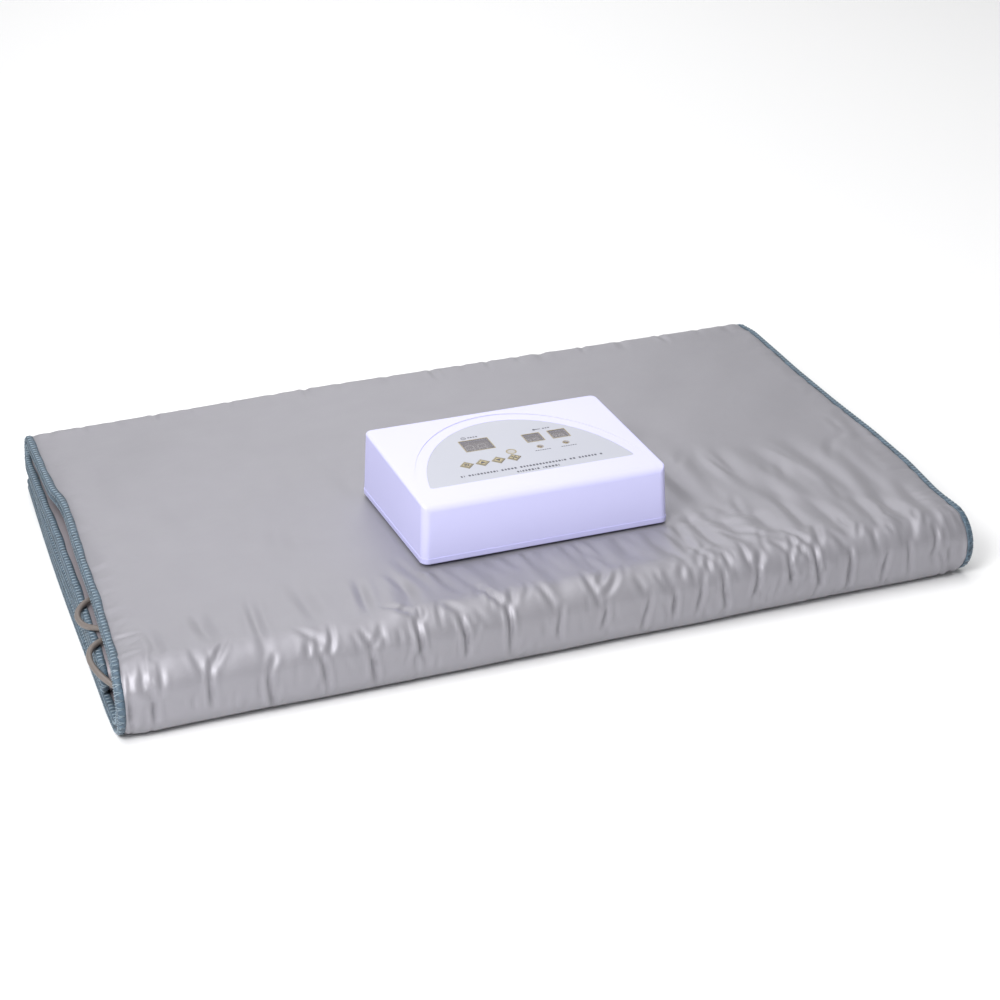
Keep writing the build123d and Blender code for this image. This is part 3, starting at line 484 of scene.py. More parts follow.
def pucker(u, t, strength, lean_angle):
    """Sharp pucker on the roll: a short deep crease, most often forked at its top."""
    reach = pick(10, 19) + 5 * strength
    add_crease(u, t, 90 + lean_angle, reach, 2.5, 4.0 * strength, pick(-0.5, 0.5), 1.1)
    add_crease(u + pick(-6, 6), t - pick(4, 16), 90 - lean_angle * 1.5, reach * 0.6, 3.2, 1.4 * strength,
               pick(-0.4, 0.4), 1.3)
    for side in (-1, 1):
        if chance.random() < fork_share:
            arm = pick(9, 24)
            add_crease(u - side * arm * 0.5, t + reach * 0.75 + arm * 0.6,
                       90 + lean_angle + side * pick(12, 50), arm, pick(2.5, 4.0), pick(1.1, 2.2) * strength,
                       side * pick(0, 0.5), 1.3)


def roll_puckers(first, last):
    """Puckers along the front roll: well apart on the left, close together on the right."""
    u = first
    while u < last:
        dense = smooth((u + 60) / 160)
        strength = pick(0.8, 1.45)
        pucker(u, roll_mid + pick(-6, 13), strength, pick(-15, 15))
        # Soft fold leading back over the top from each pucker.
        add_crease(u + pick(0, 9), top_start + pick(16, 44), 89 + 5 * dense + pick(-9, 9), pick(30, 60),
                   pick(4.5, 8.5), pick(1.6, 3.0), pick(-0.3, 0.3), 1.6)
        for _ in range(2):
            if chance.random() < 0.3 + 0.5 * dense:
                add_crease(u + pick(-22, 22), top_start + pick(-26, 14), 90 + pick(-42, 42), pick(8, 22),
                           pick(2.4, 3.6), pick(0.8, 1.9), pick(-0.5, 0.5), 1.2)
        gap = pick(44, 56) * (1 - dense) + pick(24, 40) * dense
        # The padding swells between one pucker and the next.
        add_crease(u + gap / 2, roll_mid + 14, 90, 40, gap * 0.3, -0.55, 0, 2)
        u += gap


def box_folds():
    """Folds running from under the front of the box, and fanning out from its front right corner."""
    for index in range(19):
        add_crease(box_middle[0] - 150 + index * 19 + pick(-6, 6), at_top(-214) + pick(-12, 16),
                   97 + pick(-9, 12), pick(30, 62), pick(3.6, 6.5), pick(1.1, 2.2), pick(-0.25, 0.25), 1.4)
    corner = (box_middle[0] + box_width / 2 + 12, at_top(-188))
    for index in range(8):
        heading = -88 + index * 11 + pick(-3, 3)
        reach = pick(38, 66)
        add_crease(corner[0] + cos(radians(heading)) * (reach + 8),
                   corner[1] + sin(radians(heading)) * (reach + 8) * 0.8, heading, reach, pick(4, 6.5),
                   pick(1.2, 2.2), pick(-0.2, 0.2), 1.4)


def binding_gathers(side):
    """Gathers beside a binding: crumpled at the front corner, small along the side."""
    for index in range(7):
        add_crease(side * (half_width - 15 - 4.2 * index * pick(0.5, 1)), roll_mid + pick(-26, 40),
                   90 + side * pick(-4, 26), pick(14, 30), 2.5, pick(1.0, 2.2), pick(-0.5, 0.5), 1.2)
    for index in range(30):
        add_crease(side * (half_width - pick(17, 26)), top_start + 8 + index * 18 + pick(-6, 6),
                   90 + side * pick(50, 88), pick(9, 17), 2.6, pick(0.35, 0.9), pick(-0.4, 0.4), 1.4)


def back_creases(first, last):
    """Short creases along the back fold."""
    u = first
    while u < last:
        add_crease(u, back_start + pick(-8, 6), 90 + pick(-22, 22), pick(14, 30), pick(3, 6), pick(0.6, 1.5),
                   0, 1.5)
        u += pick(26, 60)


roll_puckers(-412, 432)
# Small wrinkles over the roll, more of them on the right.
for _ in range(80):
    add_crease(430 - 860 * chance.random() ** 1.35, roll_mid + pick(-24, 44), 90 + 48 * pick(-1, 1) ** 3,
               pick(6, 16), pick(1.9, 3.0), pick(0.5, 1.4), pick(-0.6, 0.6), 1.2)
box_folds()
# Slack folds on the right of the top, in its front half.
for index in range(17):
    add_crease(150 + index * 17.5 + pick(-6, 6), top_start + pick(40, 190), 91 + pick(-8, 13), pick(50, 105),
               pick(7, 13), pick(1.4, 2.6), pick(-0.2, 0.2), 1.7)
scatter(12, (120, 420), (60, 260), 70, (-25, 40), (16, 40), (3.5, 5.5), (0.5, 0.95), 0.4, 1.4)
# Faint folds on the left, where the cloth lies flatter.
scatter(14, (-410, -130), (50, 400), 88, (-16, 24), (40, 90), (9, 16), (0.35, 0.75), 0.2, 1.9)
for side in (-1, 1):
    binding_gathers(side)
# Line of the piping beside the left binding on the roll.
add_crease(-half_width + tape_width + 6, roll_mid, 90, 46, 2.2, 2.4, 0.02, 1.2)
back_creases(-420, 430)

# The roll is a little hollow along its middle and full above and below: place, width and height.
roll_hills = ((top_start - 10, 18, 0.9), (roll_mid - 1, 11, -5.0), (roll_start + 16, 12, 1.6))


def roll_shape(u, t):
    """How far the roll's face stands off a plain round, a little uneven along the roll."""
    share = 0.8 + 0.2 * np.sin(u / 61) * np.sin(u / 143 + 1)
    return sum(hill(t, place, width) * height for place, width, height in roll_hills) * share


def waves(u, t, seed):
    """Slow unevenness of the padding, about a millimetre."""
    draw = random.Random(seed)
    total = np.zeros(np.broadcast(u, t).shape)
    for _ in range(14):
        length = draw.uniform(70, 260)
        heading = draw.uniform(0, pi)
        phase = draw.uniform(0, 2 * pi)
        place = u * cos(heading) + t * sin(heading)
        total = total + np.sin(place * 2 * pi / length + phase) * length / 260
    return total * 0.28


def edge_gathers(u, t, seed):
    """Small gathers where the cover is sewn into the binding along both side edges."""
    edge = half_width - np.abs(u) - tape_width
    draw = random.Random(seed)
    total = np.zeros(np.broadcast(u, t).shape)
    for length in (23, 31, 47, 13):
        total = total + np.sin(t * 2 * pi / length + draw.uniform(0, 6) + np.sign(u) * 2) * hill(edge, 4, 16)
    return total * 0.25


def from_box(u, t):
    """Place on the top layer, from the middle of the control box."""
    y = layer_y(t)
    return u + y * sin(lean) - box_middle[0], y - box_middle[1]


def box_flat(u, t):
    """1 under the control box and just around it on the top layer, 0 away from it."""
    x, y = from_box(u, t)
    on_top = (t > top_start - 5) & (t < back_start)
    return smooth((150 - np.abs(x)) / 14) * smooth((106 - np.abs(y)) / 14) * on_top


# ---- folded blanket: cloth simulation


def slack_cloth(u, t):
    """Outer face of the blanket before the simulation, over uneven padding."""
    return waves(u, t, 3) * smooth((half_width - np.abs(u) - tape_width) / 18)


sim_step = 5.0
sim_frames = 25
furthest_move = 7.0
cloth_settings = {
    "quality": 6, "mass": 0.15, "tension_stiffness": 30, "compression_stiffness": 30, "shear_stiffness": 15,
    "bending_stiffness": 0.02, "air_damping": 3, "vertex_group_mass": "hold", "pin_stiffness": 1.0,
    "vertex_group_shrink": "slack", "shrink_min": 0.0, "shrink_max": -0.09,
}
sim_u = np.arange(-half_width + tape_width, half_width - tape_width + 0.1, sim_step)
sim_t = np.arange(roll_start - 20, back_start + 10, sim_step)


def simulate_cloth():
    """Slack cloth over the padding: it grows a little where it is gathered, and buckles."""
    u, t = np.meshgrid(sim_u, sim_t)
    base = blanket_point(u, t, pad_offset + half_pad)
    y, z, ny, nz = fold_point(t)
    height = slack_cloth(u, t)
    start = base.copy()
    start[..., 1] += height * ny
    start[..., 2] += height * nz
    rows, cols = u.shape
    faces = [(r * cols + c, r * cols + c + 1, (r + 1) * cols + c + 1, (r + 1) * cols + c)
             for r in range(rows - 1) for c in range(cols - 1)]
    mesh = bpy.data.meshes.new("cloth_sheet")
    mesh.from_pydata((start.reshape(-1, 3) * MM).tolist(), [], faces)
    sheet = place_object(mesh, "cloth_sheet")
    hold = sheet.vertex_groups.new(name="hold")
    slack = sheet.vertex_groups.new(name="slack")
    x, y = from_box(u, t)
    border = np.minimum(np.minimum(u - sim_u[0], sim_u[-1] - u), np.minimum(t - sim_t[0], sim_t[-1] - t))
    near_box = np.hypot(np.maximum(np.abs(x) - 132, 0), np.maximum(np.abs(y) - 92, 0))
    roll = hill(t, top_start - 5, 46)
    right = smooth((x + box_middle[0] - 120) / 120) * smooth((back_start - 120 - t) / 260) * (t > top_start)
    beside_box = hill(near_box, 12, 42) * (layer_y(t) < 20)
    gathered = np.clip(0.95 * roll + 0.75 * beside_box + 0.5 * right + 0.12, 0, 1)
    fixed = np.clip(np.maximum(smooth(1 - border / 14), box_flat(u, t)), 0, 1)
    held = np.maximum(0.02, fixed)
    for index, (w, g) in enumerate(zip(held.ravel(), gathered.ravel())):
        hold.add([index], float(w), "REPLACE")
        slack.add([index], float(g), "REPLACE")
    cloth = sheet.modifiers.new("cloth", "CLOTH")
    for setting, value in cloth_settings.items():
        setattr(cloth.settings, setting, value)
    cloth.settings.effector_weights.gravity = 0
    cloth.collision_settings.use_collision = False
    scene = bpy.context.scene
    for number in range(1, sim_frames + 1):
        scene.frame_set(number)
    evaluated = sheet.evaluated_get(bpy.context.evaluated_depsgraph_get())
    moved = np.zeros(rows * cols * 3)
    evaluated.data.vertices.foreach_get("co", moved)
    bpy.data.objects.remove(sheet)
    scene.frame_set(1)
    shift = moved.reshape(rows, cols, 3) / MM - base
    size = np.linalg.norm(shift, axis=-1, keepdims=True)
    return shift * np.minimum(1, furthest_move / np.maximum(size, 1e-6))


def sampled(field, u, t):
    """Field on the simulated grid, read at other places."""
    cols = np.clip((u - sim_u[0]) / sim_step, 0, len(sim_u) - 1.001)
    rows = np.clip((t - sim_t[0]) / sim_step, 0, len(sim_t) - 1.001)
    c, r = cols.astype(int), rows.astype(int)
    fc, fr = (cols - c)[..., None], (rows - r)[..., None]
    return ((field[r, c] * (1 - fc) + field[r, c + 1] * fc) * (1 - fr)
            + (field[r + 1, c] * (1 - fc) + field[r + 1, c + 1] * fc) * fr)


# ---- folded blanket: pads


edge_steps = [0.9, 4.0, 6.6, 7.5, 8.0, 9.0, 10.8, 13.0, 16.0, 20.0, 24.0, 28.0]
# The hidden face of a pad keeps only every third column and every second row.
back_cols, back_rows = 3, 2


def cross_columns(spacing):
    """Places across the blanket: close together at both edges, then even."""
    inside = half_width - edge_steps[-1]
    count = int(2 * inside / spacing)
    count += (-(count + 2 * len(edge_steps) - 2)) % back_cols
    middle = list(np.linspace(-inside, inside, count + 1)[1:-1])
    left = [-half_width + step for step in edge_steps]
    return np.array(left + middle + [half_width - step for step in reversed(edge_steps)])


def fold_rows(parts):
    """Places along the fold: close together at both free ends, and by the given steps between."""
    rows = list(edge_steps)
    for end, step in parts:
        count = max(2, int(round((end - rows[-1]) / step)))
        rows += list(np.linspace(rows[-1], end, count + 1)[1:])
    rows += [fold_length - e for e in reversed(edge_steps)]
    while (len(rows) - 1) % back_rows:
        rows.insert(-14, (rows[-14] + rows[-15]) / 2)
    return np.array(rows)


def pad_faces(cols, rows):
    """Faces of a closed pad: a fine face, a coarser one behind it, and the rim between them."""
    fine_cols, fine_rows = len(cols), len(rows)
    coarse_c = list(range(0, fine_cols, back_cols))
    coarse_r = list(range(0, fine_rows, back_rows))
    base = fine_cols * fine_rows
    faces = [(r * fine_cols + c, (r + 1) * fine_cols + c, (r + 1) * fine_cols + c + 1, r * fine_cols + c + 1)
             for r in range(fine_rows - 1) for c in range(fine_cols - 1)]
    wide = len(coarse_c)
    for r in range(len(coarse_r) - 1):
        for c in range(wide - 1):
            a = base + r * wide + c
            faces.append((a, a + 1, a + wide + 1, a + wide))
    last_r, last_c = fine_rows - 1, fine_cols - 1
    for c in range(wide - 1):
        low, high = coarse_c[c], coarse_c[c + 1]
        faces.append([base + c + 1, base + c] + list(range(low, high + 1)))
        bottom = base + (len(coarse_r) - 1) * wide
        faces.append([bottom + c, bottom + c + 1]
                     + [last_r * fine_cols + k for k in range(high, low - 1, -1)])
    for r in range(len(coarse_r) - 1):
        low, high = coarse_r[r], coarse_r[r + 1]
        faces.append([base + r * wide, base + (r + 1) * wide]
                     + [k * fine_cols for k in range(high, low - 1, -1)])
        faces.append([base + (r + 1) * wide + wide - 1, base + r * wide + wide - 1]
                     + [k * fine_cols + last_c for k in range(low, high + 1)])
    return faces, coarse_c, coarse_r


# How far each pad's inward face stands back from its plain place, so that the two stay apart.
meeting_gap = 0.15


def closed_pad(name, face, cols, rows, middle, material):
    """Whole pad: its fine face, a coarser one behind it and the rim."""
    faces, coarse_c, coarse_r = pad_faces(cols, rows)
    u, t = np.meshgrid(cols[coarse_c], rows[coarse_r])
    back = blanket_point(u, t, middle - pad_half_thickness(u, t))
    return mesh_piece(name, np.concatenate([face.reshape(-1, 3), back.reshape(-1, 3)]), faces, material)


# Height of the plain top layer under the box's feet, and the cloth's distance from feet and floor.
pad_top = 71.8
clearance = 0.25


def outer_pad():
    """Outer pad: fine simulated cloth where it shows, coarser where it is folded away."""
    cols = cross_columns(2.5)
    rows = fold_rows(((roll_start - 30, 30), (roll_start + 14, 6), (top_start + 62, 2.1),
                      (top_start + 200, 4.0), (back_start - 8, 7.0), (back_start + 30, 4.0),
                      (fold_length - edge_steps[-1], 30)))
    u, t = np.meshgrid(cols, rows)
    face = blanket_point(u, t, pad_offset + pad_half_thickness(u, t))
    y, z, ny, nz = fold_point(t)
    edge = half_width - np.abs(u) - tape_width
    from_roll = smooth((t - roll_start + 40) / 40)
    height = edge_gathers(u, t, 5) + (creases(u, t) + roll_shape(u, t)) * smooth(edge / 5) * from_roll
    if cloth_shift is not None:
        shown = smooth((t - sim_t[0]) / 30) * smooth((sim_t[-1] - t) / 30)
        face += sampled(cloth_shift, u, t) * shown[..., None] * smooth(edge / 10)[..., None]
    else:
        height = height + slack_cloth(u, t) * from_roll
    flat = box_flat(u, t)
    height = height * (1 - flat)
    face[..., 1] += height * ny
    face[..., 2] += height * nz
    lid = (t > top_start) & (t < back_start)
    limit = pad_top - clearance + 40 * (1 - flat)
    face[..., 2] = np.where(lid, np.minimum(face[..., 2], limit), face[..., 2])
    face[..., 2] = np.maximum(face[..., 2], clearance)
    return closed_pad("outer_pad", face, cols, rows, pad_offset + meeting_gap, cloth_silver)


def inner_pad():
    """Inner pad, which shows only at its edges."""
    cols = cross_columns(9.0)
    rows = fold_rows(((roll_start, 16), (top_start, 5), (back_start, 16), (third_start, 4),
                      (crease_start, 16), (second_start, 3), (fold_length - edge_steps[-1], 16)))
    u, t = np.meshgrid(cols, rows)
    face = blanket_point(u, t, -pad_offset + pad_half_thickness(u, t) - meeting_gap)
    return closed_pad("inner_pad", face, cols, rows, -pad_offset, cloth_inner)


cloth_shift = simulate_cloth()
for pad, cad_pad in ((outer_pad(), "lower_pad"), (inner_pad(), "upper_pad")):
    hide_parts(f"{cad_pad}_cover", f"{cad_pad}_wadding", f"{cad_pad}_heater_zone_1",
                f"{cad_pad}_heater_zone_2")
    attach(pad, "blanket")

# ---- bindings

# Section of the folded tape: distance in from the edge, and height.
tape_in, tape_up = np.array((
    (7.2, 1.75), (4.4, 1.85), (2.2, 1.8), (0.9, 1.2), (0.55, 0), (0.9, -1.2), (2.2, -1.8), (4.4, -1.85),
    (7.2, -1.75), (7.3, -2.4), (4.6, -2.65), (2.0, -2.5), (0.5, -1.7), (-0.1, 0), (0.5, 1.7), (2.0, 2.5),
    (4.6, 2.65), (7.3, 2.4))).T
tape_reach = 7.3


def swept_faces(rings, count):
    """Faces of a closed tube of rings, with both ends capped."""
    faces = []
    for r in range(rings - 1):
        for k in range(count):
            a, b = r * count + k, r * count + (k + 1) % count
            faces.append((a, b, b + count, a + count))
    faces.append(tuple(range(count - 1, -1, -1)))
    faces.append(tuple((rings - 1) * count + k for k in range(count)))
    return faces


def tape_strip(middle, side, draw):
    """Folded tape along one side edge; it wavers a little in width."""
    rows = np.concatenate([np.arange(0.5, fold_length, 5.0), [fold_length - 0.5]])
    phase = draw.uniform(0, 6)
    wander = 0.45 * np.sin(rows / 21 + phase) + 0.35 * np.sin(rows / 9.1 + 2 * phase)
    points = []
    for t, shift in zip(rows, wander):
        u = side * (half_width - tape_in - shift * (tape_in / tape_reach))
        points.append(blanket_point(u, t, middle + tape_up))
    return np.concatenate(points), swept_faces(len(rows), len(tape_in))


def tape_end(middle, end, draw):
    """Folded tape along one free end, from side to side."""
    cols = np.linspace(-half_width + 0.5, half_width - 0.5, 150)
    phase = draw.uniform(0, 6)
    points = []
    for u in cols:
        inward = tape_in + 0.5 * sin(u / 17 + phase) * tape_in / tape_reach
        t = fold_length - inward if end else inward
        points.append(blanket_point(u, np.clip(t, -1, fold_length + 1), middle + tape_up))
    return np.concatenate(points), swept_faces(len(cols), len(tape_in))


def joined(parts):
    """Several sets of points and faces as one."""
    points, faces, base = [], [], 0
    for part_points, part_faces in parts:
        points.append(part_points)
        faces += [tuple(index + base for index in face) for face in part_faces]
        base += len(part_points)
    return np.concatenate(points), faces


def thread_tube(line, radius, sides=4):
    """Fine tube along a line of points."""
    line = np.asarray(line, float)
    ahead = np.gradient(line, axis=0)
    ahead /= np.linalg.norm(ahead, axis=1, keepdims=True) + 1e-9
    up = np.where(np.abs(ahead[:, 2:3]) < 0.9, (0, 0, 1.0), (1.0, 0, 0))
    right = np.cross(ahead, up)
    right /= np.linalg.norm(right, axis=1, keepdims=True) + 1e-9
    up = np.cross(right, ahead)
    rings = [line + radius * (right * cos(k * 2 * pi / sides) + up * sin(k * 2 * pi / sides))
             for k in range(sides)]
    points = np.stack(rings, axis=1).reshape(-1, 3)
    return points, swept_faces(len(line), sides)


# One round of the overlock stitch: distance in from the edge, and height on the tape.
stitch_round = ((6.0, 2.72), (1.6, 2.66), (-0.4, 0), (1.6, -2.3), (6.0, -2.3), (1.6, -2.3), (-0.4, 0),
                (1.6, 2.66))
stitch_step = 0.75
thread_radius = 0.4


def overlock(middle, side, face_side):
    """Overlock stitch wound round a tape along one side edge."""
    t = np.arange(3.0, fold_length - 3, stitch_step)
    a, b = np.array([stitch_round[index % len(stitch_round)] for index in range(len(t))]).T
    return thread_tube(blanket_point(side * (half_width - a), t, middle + face_side * b), thread_radius)


tape_draw = random.Random(11)
for cad_pad, middle, face_side in (("lower_pad", pad_offset, 1), ("upper_pad", -pad_offset, -1)):
    parts = [tape_strip(middle, side, tape_draw) for side in (-1, 1)]
    parts += [tape_end(middle, end, tape_draw) for end in (0, 1)]
    binding = mesh_piece(f"{cad_pad}_tape", *joined(parts), tape_blue)
    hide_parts(f"{cad_pad}_binding")
    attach(binding, "blanket")
    stitches = mesh_piece(f"{cad_pad}_stitches", *joined([
        overlock(middle, side, face_side) for side in (-1, 1)]), thread_white)
    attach(stitches, "blanket")

# ---- zips

tooth_pitch = 2.6


def zip_teeth(side):
    """Chain of moulded teeth along one side edge, taken in turn from the two pads."""
    parts = []
    block = np.array([(a, b, c) for a in (0, 1) for b in (0, 1) for c in (0, 1)], float)
    block_faces = [(0, 1, 3, 2), (4, 6, 7, 5), (0, 4, 5, 1), (2, 3, 7, 6), (0, 2, 6, 4), (1, 5, 7, 3)]
    count = int((fold_length - 8) / tooth_pitch)
    for index in range(count):
        t = 4 + index * tooth_pitch
        turn = 0.5 if index % 2 else -0.5
        a = 1.2 + block[:, 0] * 3.4
        length = t + (block[:, 1] - 0.5) * 1.7
        depth = turn + (block[:, 2] - 0.5) * 1.5
        parts.append((blanket_point(side * (half_width - a), length, depth), block_faces))
    return joined(parts)


# Near-black navy teeth: painted shade, darker than the real zip so the gaps between the tapes read dark.
zip_shade_plastic = moulded_look("zip_teeth", (0.035, 0.055, 0.085), 0.25, 0.4)
for name, side in (("left_zip", -1), ("right_zip", 1)):
    teeth = mesh_piece(f"{name}_chain", *zip_teeth(side), zip_shade_plastic, smooth=False)
    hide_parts(name)
    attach(teeth, "blanket")

# ---- control box looks

window_look = Look("smoked_window", (0.22, 0.205, 0.22), 0.08, Specular_IOR_Level=0.3, Alpha=0.5)
window_look.height(window_look.noise(300, 2), 0.02, 0.0001)
window_look.roughness(window_look.noise(50, 2), 0.06, 0.12)
fuse_look = Look("fuse_glass", (0.8, 0.85, 0.85), 0.05, Alpha=0.4)
fuse_look.roughness(fuse_look.noise(200, 2), 0.03, 0.1)
ink_black = moulded_look("print_ink", (0.05, 0.05, 0.075), 0.4, 0.5)
ink_gold = moulded_look("gold_ink", (0.27, 0.22, 0.12), 0.3, 0.4)

box_looks = (
    (moulded_look("case_plastic", (0.58, 0.575, 0.87), 0.34, 0.42, 0.03), "top_housing"),
    (moulded_look("base_plastic", (0.55, 0.545, 0.84), 0.28, 0.4, 0.06), "base_cover"),
    (moulded_look("label_film", (0.42, 0.43, 0.49), 0.35, 0.45, 0.08), "panel_label"),
    (moulded_look("black_plastic", (0.025, 0.025, 0.03), 0.3, 0.5, 0.1), "power_inlet", "rocker_frame",
     "rocker", "fuse_holder", "fuse_cap", "tact_switches", "infrared_receiver", "control_chip"),
    (moulded_look("circuit_board", (0.02, 0.14, 0.06), 0.3, 0.45, 0.2), "display_board", "main_board"),
    (moulded_look("foot_rubber", (0.03, 0.03, 0.03), 0.7, 0.9, 0.3), "rubber_feet"),
    (moulded_look("key_gold", (0.37, 0.31, 0.17), 0.3, 0.42, 0.1), "power_key", "up_key", "down_key",
     "zone_key"),
    (moulded_look("led_lens", (0.22, 0.18, 0.12), 0.12, 0.2, 0.0), "zone_leds"),
    (moulded_look("relay_plastic", (0.02, 0.09, 0.32)), "zone_relays"),
    (moulded_look("capacitor_sleeve", (0.03, 0.035, 0.10)), "filter_capacitors"),
    (moulded_look("ribbon_grey", (0.42, 0.42, 0.42), 0.4, 0.55), "ribbon_cable"),
    (moulded_look("display_body", (0.20, 0.18, 0.20), 0.3, 0.4), "time_display", "zone_displays"),
    (moulded_look("gland_rubber", (0.05, 0.045, 0.045), 0.55, 0.75, 0.2), "lead_gland_1", "lead_gland_2"),
    (moulded_look("receiver_lens", (0.34, 0.325, 0.32), 0.1, 0.2, 0.0), "receiver_window"),
    (metal_look("screw_steel", (0.56, 0.56, 0.57)), "case_screws", "display_board_screws",
     "main_board_screws", "zone_thermostats"),
    (metal_look("plug_metal", (0.62, 0.62, 0.64), 0.12, 0.26), "output_socket_1", "output_socket_2",
     "socket_nuts", "lead_plug_1", "lead_plug_2", "lead_ring_1", "lead_ring_2"),
    (metal_look("contact_brass", (0.66, 0.47, 0.18)), "inlet_pins"),
    (metal_look("coil_copper", (0.60, 0.24, 0.10), 0.3, 0.5), "transformer_coil"),
    (metal_look("core_steel", (0.13, 0.13, 0.13), 0.5, 0.7), "transformer_core"),
    (window_look.material, "time_window", "zone_windows"),
    (fuse_look.material, "fuse"),
)
for look, *names in box_looks:
    for name in names:
        for material_slot in nodes[name].material_slots:
            material_slot.material = look

# ---- print on the panel

label_low, label_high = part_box("panel_label")
label_x = (label_low.x + label_high.x) / 2 / MM
label_face = max((face for face in nodes["panel_label"].data.polygons if face.normal.z > 0.9),
                 key=lambda face: face.area)
panel_slope = atan2(-label_face.normal.y, label_face.normal.z)
face_point = nodes["panel_label"].data.vertices[label_face.vertices[0]].co / MM
housing_low, housing_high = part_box("top_housing")
panel_y = (housing_low.y + housing_high.y) / 2 / MM


def on_panel(x, v, rise):
    """Point on the label: x to the right of its middle, v up the slope, rise above the film."""
    y = panel_y + v * cos(panel_slope)
    z = face_point.z + (y - face_point.y) * sin(panel_slope) / cos(panel_slope)
    return label_x + x, y - rise * sin(panel_slope), z + rise * cos(panel_slope)


def flat_print(outline, rise, thickness=0.08):
    """Printed patch with a little thickness, from its outline on the panel."""
    count = len(outline)
    points = [on_panel(x, v, level) for level in (rise, rise + thickness) for x, v in outline]
    faces = [tuple(range(count - 1, -1, -1)), tuple(range(count, 2 * count))]
    faces += [(k, (k + 1) % count, count + (k + 1) % count, count + k) for k in range(count)]
    return np.array(points), faces


def band_print(inner, outer, rise, thickness=0.08):
    """Printed frame between two outlines of as many points."""
    count = len(inner)
    points = [on_panel(x, v, rise + up) for up in (0, thickness) for ring in (inner, outer) for x, v in ring]
    faces = []
    for k in range(count):
        n = (k + 1) % count
        faces.append((2 * count + k, 3 * count + k, 3 * count + n, 2 * count + n))
        faces.append((k, n, count + n, count + k))
        faces.append((k, 2 * count + k, 2 * count + n, n))
        faces.append((count + k, count + n, 3 * count + n, 3 * count + k))
    return np.array(points), faces


def rectangle(middle, wide, high):
    x, v = middle
    return [(x + a * wide / 2, v + b * high / 2) for a, b in ((-1, -1), (1, -1), (1, 1), (-1, 1))]


def diamond(middle, reach):
    x, v = middle
    return [(x, v - reach), (x + reach, v), (x, v + reach), (x - reach, v)]


def round_outline(middle, radius, count=28, first=0, last=360):
    span = last - first
    steps = count if span == 360 else count - 1
    return [(middle[0] + radius * cos(radians(first + span * k / steps)),
             middle[1] + radius * sin(radians(first + span * k / steps))) for k in range(count)]


def stroke(start, end, wide):
    """Outline of a straight printed line."""
    dx, dv = end[0] - start[0], end[1] - start[1]
    long = hypot(dx, dv)
    ox, ov = -dv / long * wide / 2, dx / long * wide / 2
    return [(x + way * ox, v + way * ov) for (x, v), way in ((start, -1), (end, -1), (end, 1), (start, 1))]


time_window = ((-32, 20), (30.5, 24))
zone_windows = (((28.5, 16), (18.3, 17.6)), ((57, 16), (18.3, 17.6)))
led_places = ((27.5, -5.5), (56, -5.5))
receiver_place = (-4.7, -6.2)
film_rise = 0.02

frames = []
for middle, (wide, high) in (time_window,) + zone_windows:
    frames.append(band_print(rectangle(middle, wide - 0.2, high - 0.2),
                             rectangle(middle, wide + 1.8, high + 1.8), 0.03))
for place in led_places:
    frames.append(band_print(round_outline(place, 2.65), round_outline(place, 3.6), film_rise))
frames.append(band_print(round_outline(receiver_place, 4.2), round_outline(receiver_place, 5.6), film_rise))
gold_frames = mesh_piece("panel_gold_frames", *joined(frames), ink_gold, smooth=False)

marks = []


def mark(outline):
    marks.append(flat_print(outline, film_rise))


# Clock mark over the timer window.
clock = (-40, 38)
marks.append(band_print(round_outline(clock, 2.0), round_outline(clock, 2.7), film_rise))
mark(stroke(clock, (clock[0], clock[1] + 1.6), 0.5))
mark(stroke(clock, (clock[0] + 1.2, clock[1] - 0.4), 0.5))
for step in range(4):
    mark(rectangle((-34.5 + 2.9 * step, 38), 1.8, 2.0))
# Thermometer mark over the zone windows.
bulb = (36, 32.5)
mark(round_outline(bulb, 1.6))
mark(stroke(bulb, (bulb[0] + 7, bulb[1]), 1.1))
for step in range(3):
    mark(rectangle((46.5 + 2.9 * step, 32.5), 1.8, 2.0))
# Ruled dashes under the lamps and along the front of the label.
for place in led_places:
    for step in range(-3, 4):
        mark(rectangle((place[0] + 2.5 * step, place[1] - 8), 1.6, 1.2))
rule_draw = random.Random(4)
for first, last, v in ((-73, 79, -42), (-16, 30, -50.5)):
    x = first
    while x < last:
        wide = rule_draw.choice((0.9, 1.7, 2.1, 2.1))
        mark(rectangle((x + wide / 2, v), wide, 3.1))
        x += wide + rule_draw.choice((1.5, 1.5, 1.5, 1.5, 1.5, 4.2))
panel_marks = mesh_piece("panel_marks", *joined(marks), ink_black, smooth=False)
for piece in (gold_frames, panel_marks):
    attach(piece, "control_box")

key_middles = [(-58.2 + 17.1 * index, -19.8) for index in range(4)]
key_half = 10.6 / 2 ** 0.5
key_rise = 0.42


def key_symbol(index, middle):
    """Plain symbol of one key: power, up, down, zone."""
    x, v = middle
    if index == 0:
        inner, outer = (round_outline(middle, radius, 24, 125, 415) for radius in (1.5, 2.6))
        return [band_print(inner, outer, key_rise), flat_print(stroke((x, v), (x, v + 3.0), 1.0), key_rise)]
    if index in (1, 2):
        way = 1 if index == 1 else -1
        foot = v - 1.8 * way
        return [flat_print([(x - 2.8 * way, foot), (x + 2.8 * way, foot), (x, v + 2.8 * way)], key_rise)]
    return [flat_print(stroke((x - 2.3, v - 2.3), (x + 2.3, v + 2.3), 1.1), key_rise),
            flat_print(rectangle((x - 1.5, v + 1.5), 2.0, 2.0), key_rise),
            flat_print(rectangle((x + 1.5, v - 1.5), 2.0, 2.0), key_rise)]


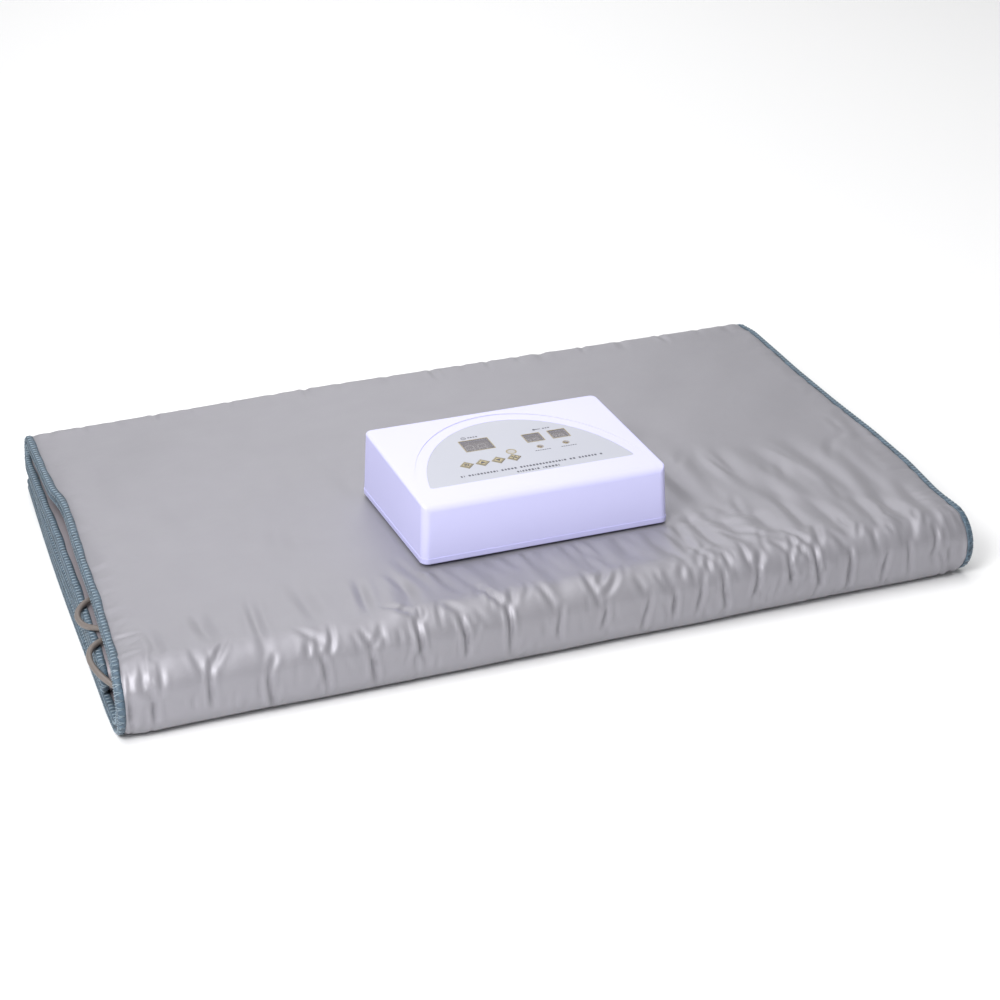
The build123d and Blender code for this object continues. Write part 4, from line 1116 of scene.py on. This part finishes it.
for index, (name, middle) in enumerate(zip(("power_key", "up_key", "down_key", "zone_key"), key_middles)):
    parts = key_symbol(index, middle)
    parts.append(band_print(diamond(middle, key_half - 2.3), diamond(middle, key_half - 1.6), key_rise))
    parts.append(band_print(diamond(middle, key_half - 0.75), diamond(middle, key_half - 0.1),
                            key_rise - 0.1))
    symbol = mesh_piece(f"{name}_symbol", *joined(parts), ink_black, smooth=False)
    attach(symbol, name)

# Digits behind the windows: seven plain bars each.
digit_grey = moulded_look("digit_segments", (0.85, 0.83, 0.86), 0.3, 0.4)
digit_bars = (((0, 1), 0), ((0, 0), 0), ((0, -1), 0), ((-1, 0.5), 1), ((1, 0.5), 1), ((-1, -0.5), 1),
              ((1, -0.5), 1))
digit_rise = -3.85
bar_width = 1.5


def digit(middle, half_wide, half_high, slant=0.09):
    """Seven-bar digit on a display's face."""
    parts = []
    for (sx, sv), upright in digit_bars:
        x, v = middle[0] + sx * half_wide, middle[1] + sv * half_high
        dx, dv = (0, half_high / 2 - 0.7) if upright else (half_wide - 0.8, 0)
        outline = stroke((x - dx, v - dv), (x + dx, v + dv), bar_width)
        parts.append(flat_print([(px + (pv - middle[1]) * slant, pv) for px, pv in outline], digit_rise))
    return parts


digits = []
for offset in (-6.6, 6.6):
    digits += digit((time_window[0][0] + offset, time_window[0][1]), 4.2, 7.6)
for middle, size in zone_windows:
    for offset in (-4.1, 4.1):
        digits += digit((middle[0] + offset, middle[1]), 2.4, 5.0)
digit_bars_piece = mesh_piece("display_digits", *joined(digits), digit_grey, smooth=False)
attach(digit_bars_piece, "control_box")

# ---- floor and light

floor_reach = 60
floor_look = Look("floor", (0.86, 0.86, 0.865), 0.7)
floor_mesh = bpy.data.meshes.new("floor")
floor_corners = [(x * floor_reach, y * floor_reach, 0) for x, y in ((-1, -1), (1, -1), (1, 1), (-1, 1))]
floor_mesh.from_pydata(floor_corners, [], [(0, 1, 2, 3)])
floor_mesh.materials.append(floor_look.material)
place_object(floor_mesh, "floor")


def softbox(name, place, aim, size, power):
    """Square area light at a place, turned towards a point."""
    data = bpy.data.lights.new(name, "AREA")
    data.size = size
    data.energy = power
    light = place_object(data, name)
    light.location = place
    light.rotation_euler = (Vector(aim) - Vector(place)).to_track_quat("-Z", "Y").to_euler()


sun_data = bpy.data.lights.new("soft_sun", "SUN")
sun_data.energy = 1.1
sun_data.angle = radians(40)
sun = place_object(sun_data, "soft_sun")
sun.rotation_euler = Vector((0.15, 0.0, -1.0)).to_track_quat("-Z", "Y").to_euler()
softbox("left_light", (-1.45, -1.4, 1.7), (-0.1, -0.1, 0), 0.9, 55)
softbox("over_light", (-0.1, 0.7, 2.3), (-0.1, 0.1, 0), 2.2, 14)
softbox("back_light", (0.7, 2.8, 1.7), (0, 0.2, 0), 1.8, 15)
world = bpy.data.worlds.new("studio")
bpy.context.scene.world = world
world.use_nodes = True
sky = world.node_tree.nodes["Background"].inputs
sky["Color"].default_value = (1.0, 1.0, 1.0, 1)
sky["Strength"].default_value = 0.38
bpy.context.scene.view_settings.view_transform = "Standard"
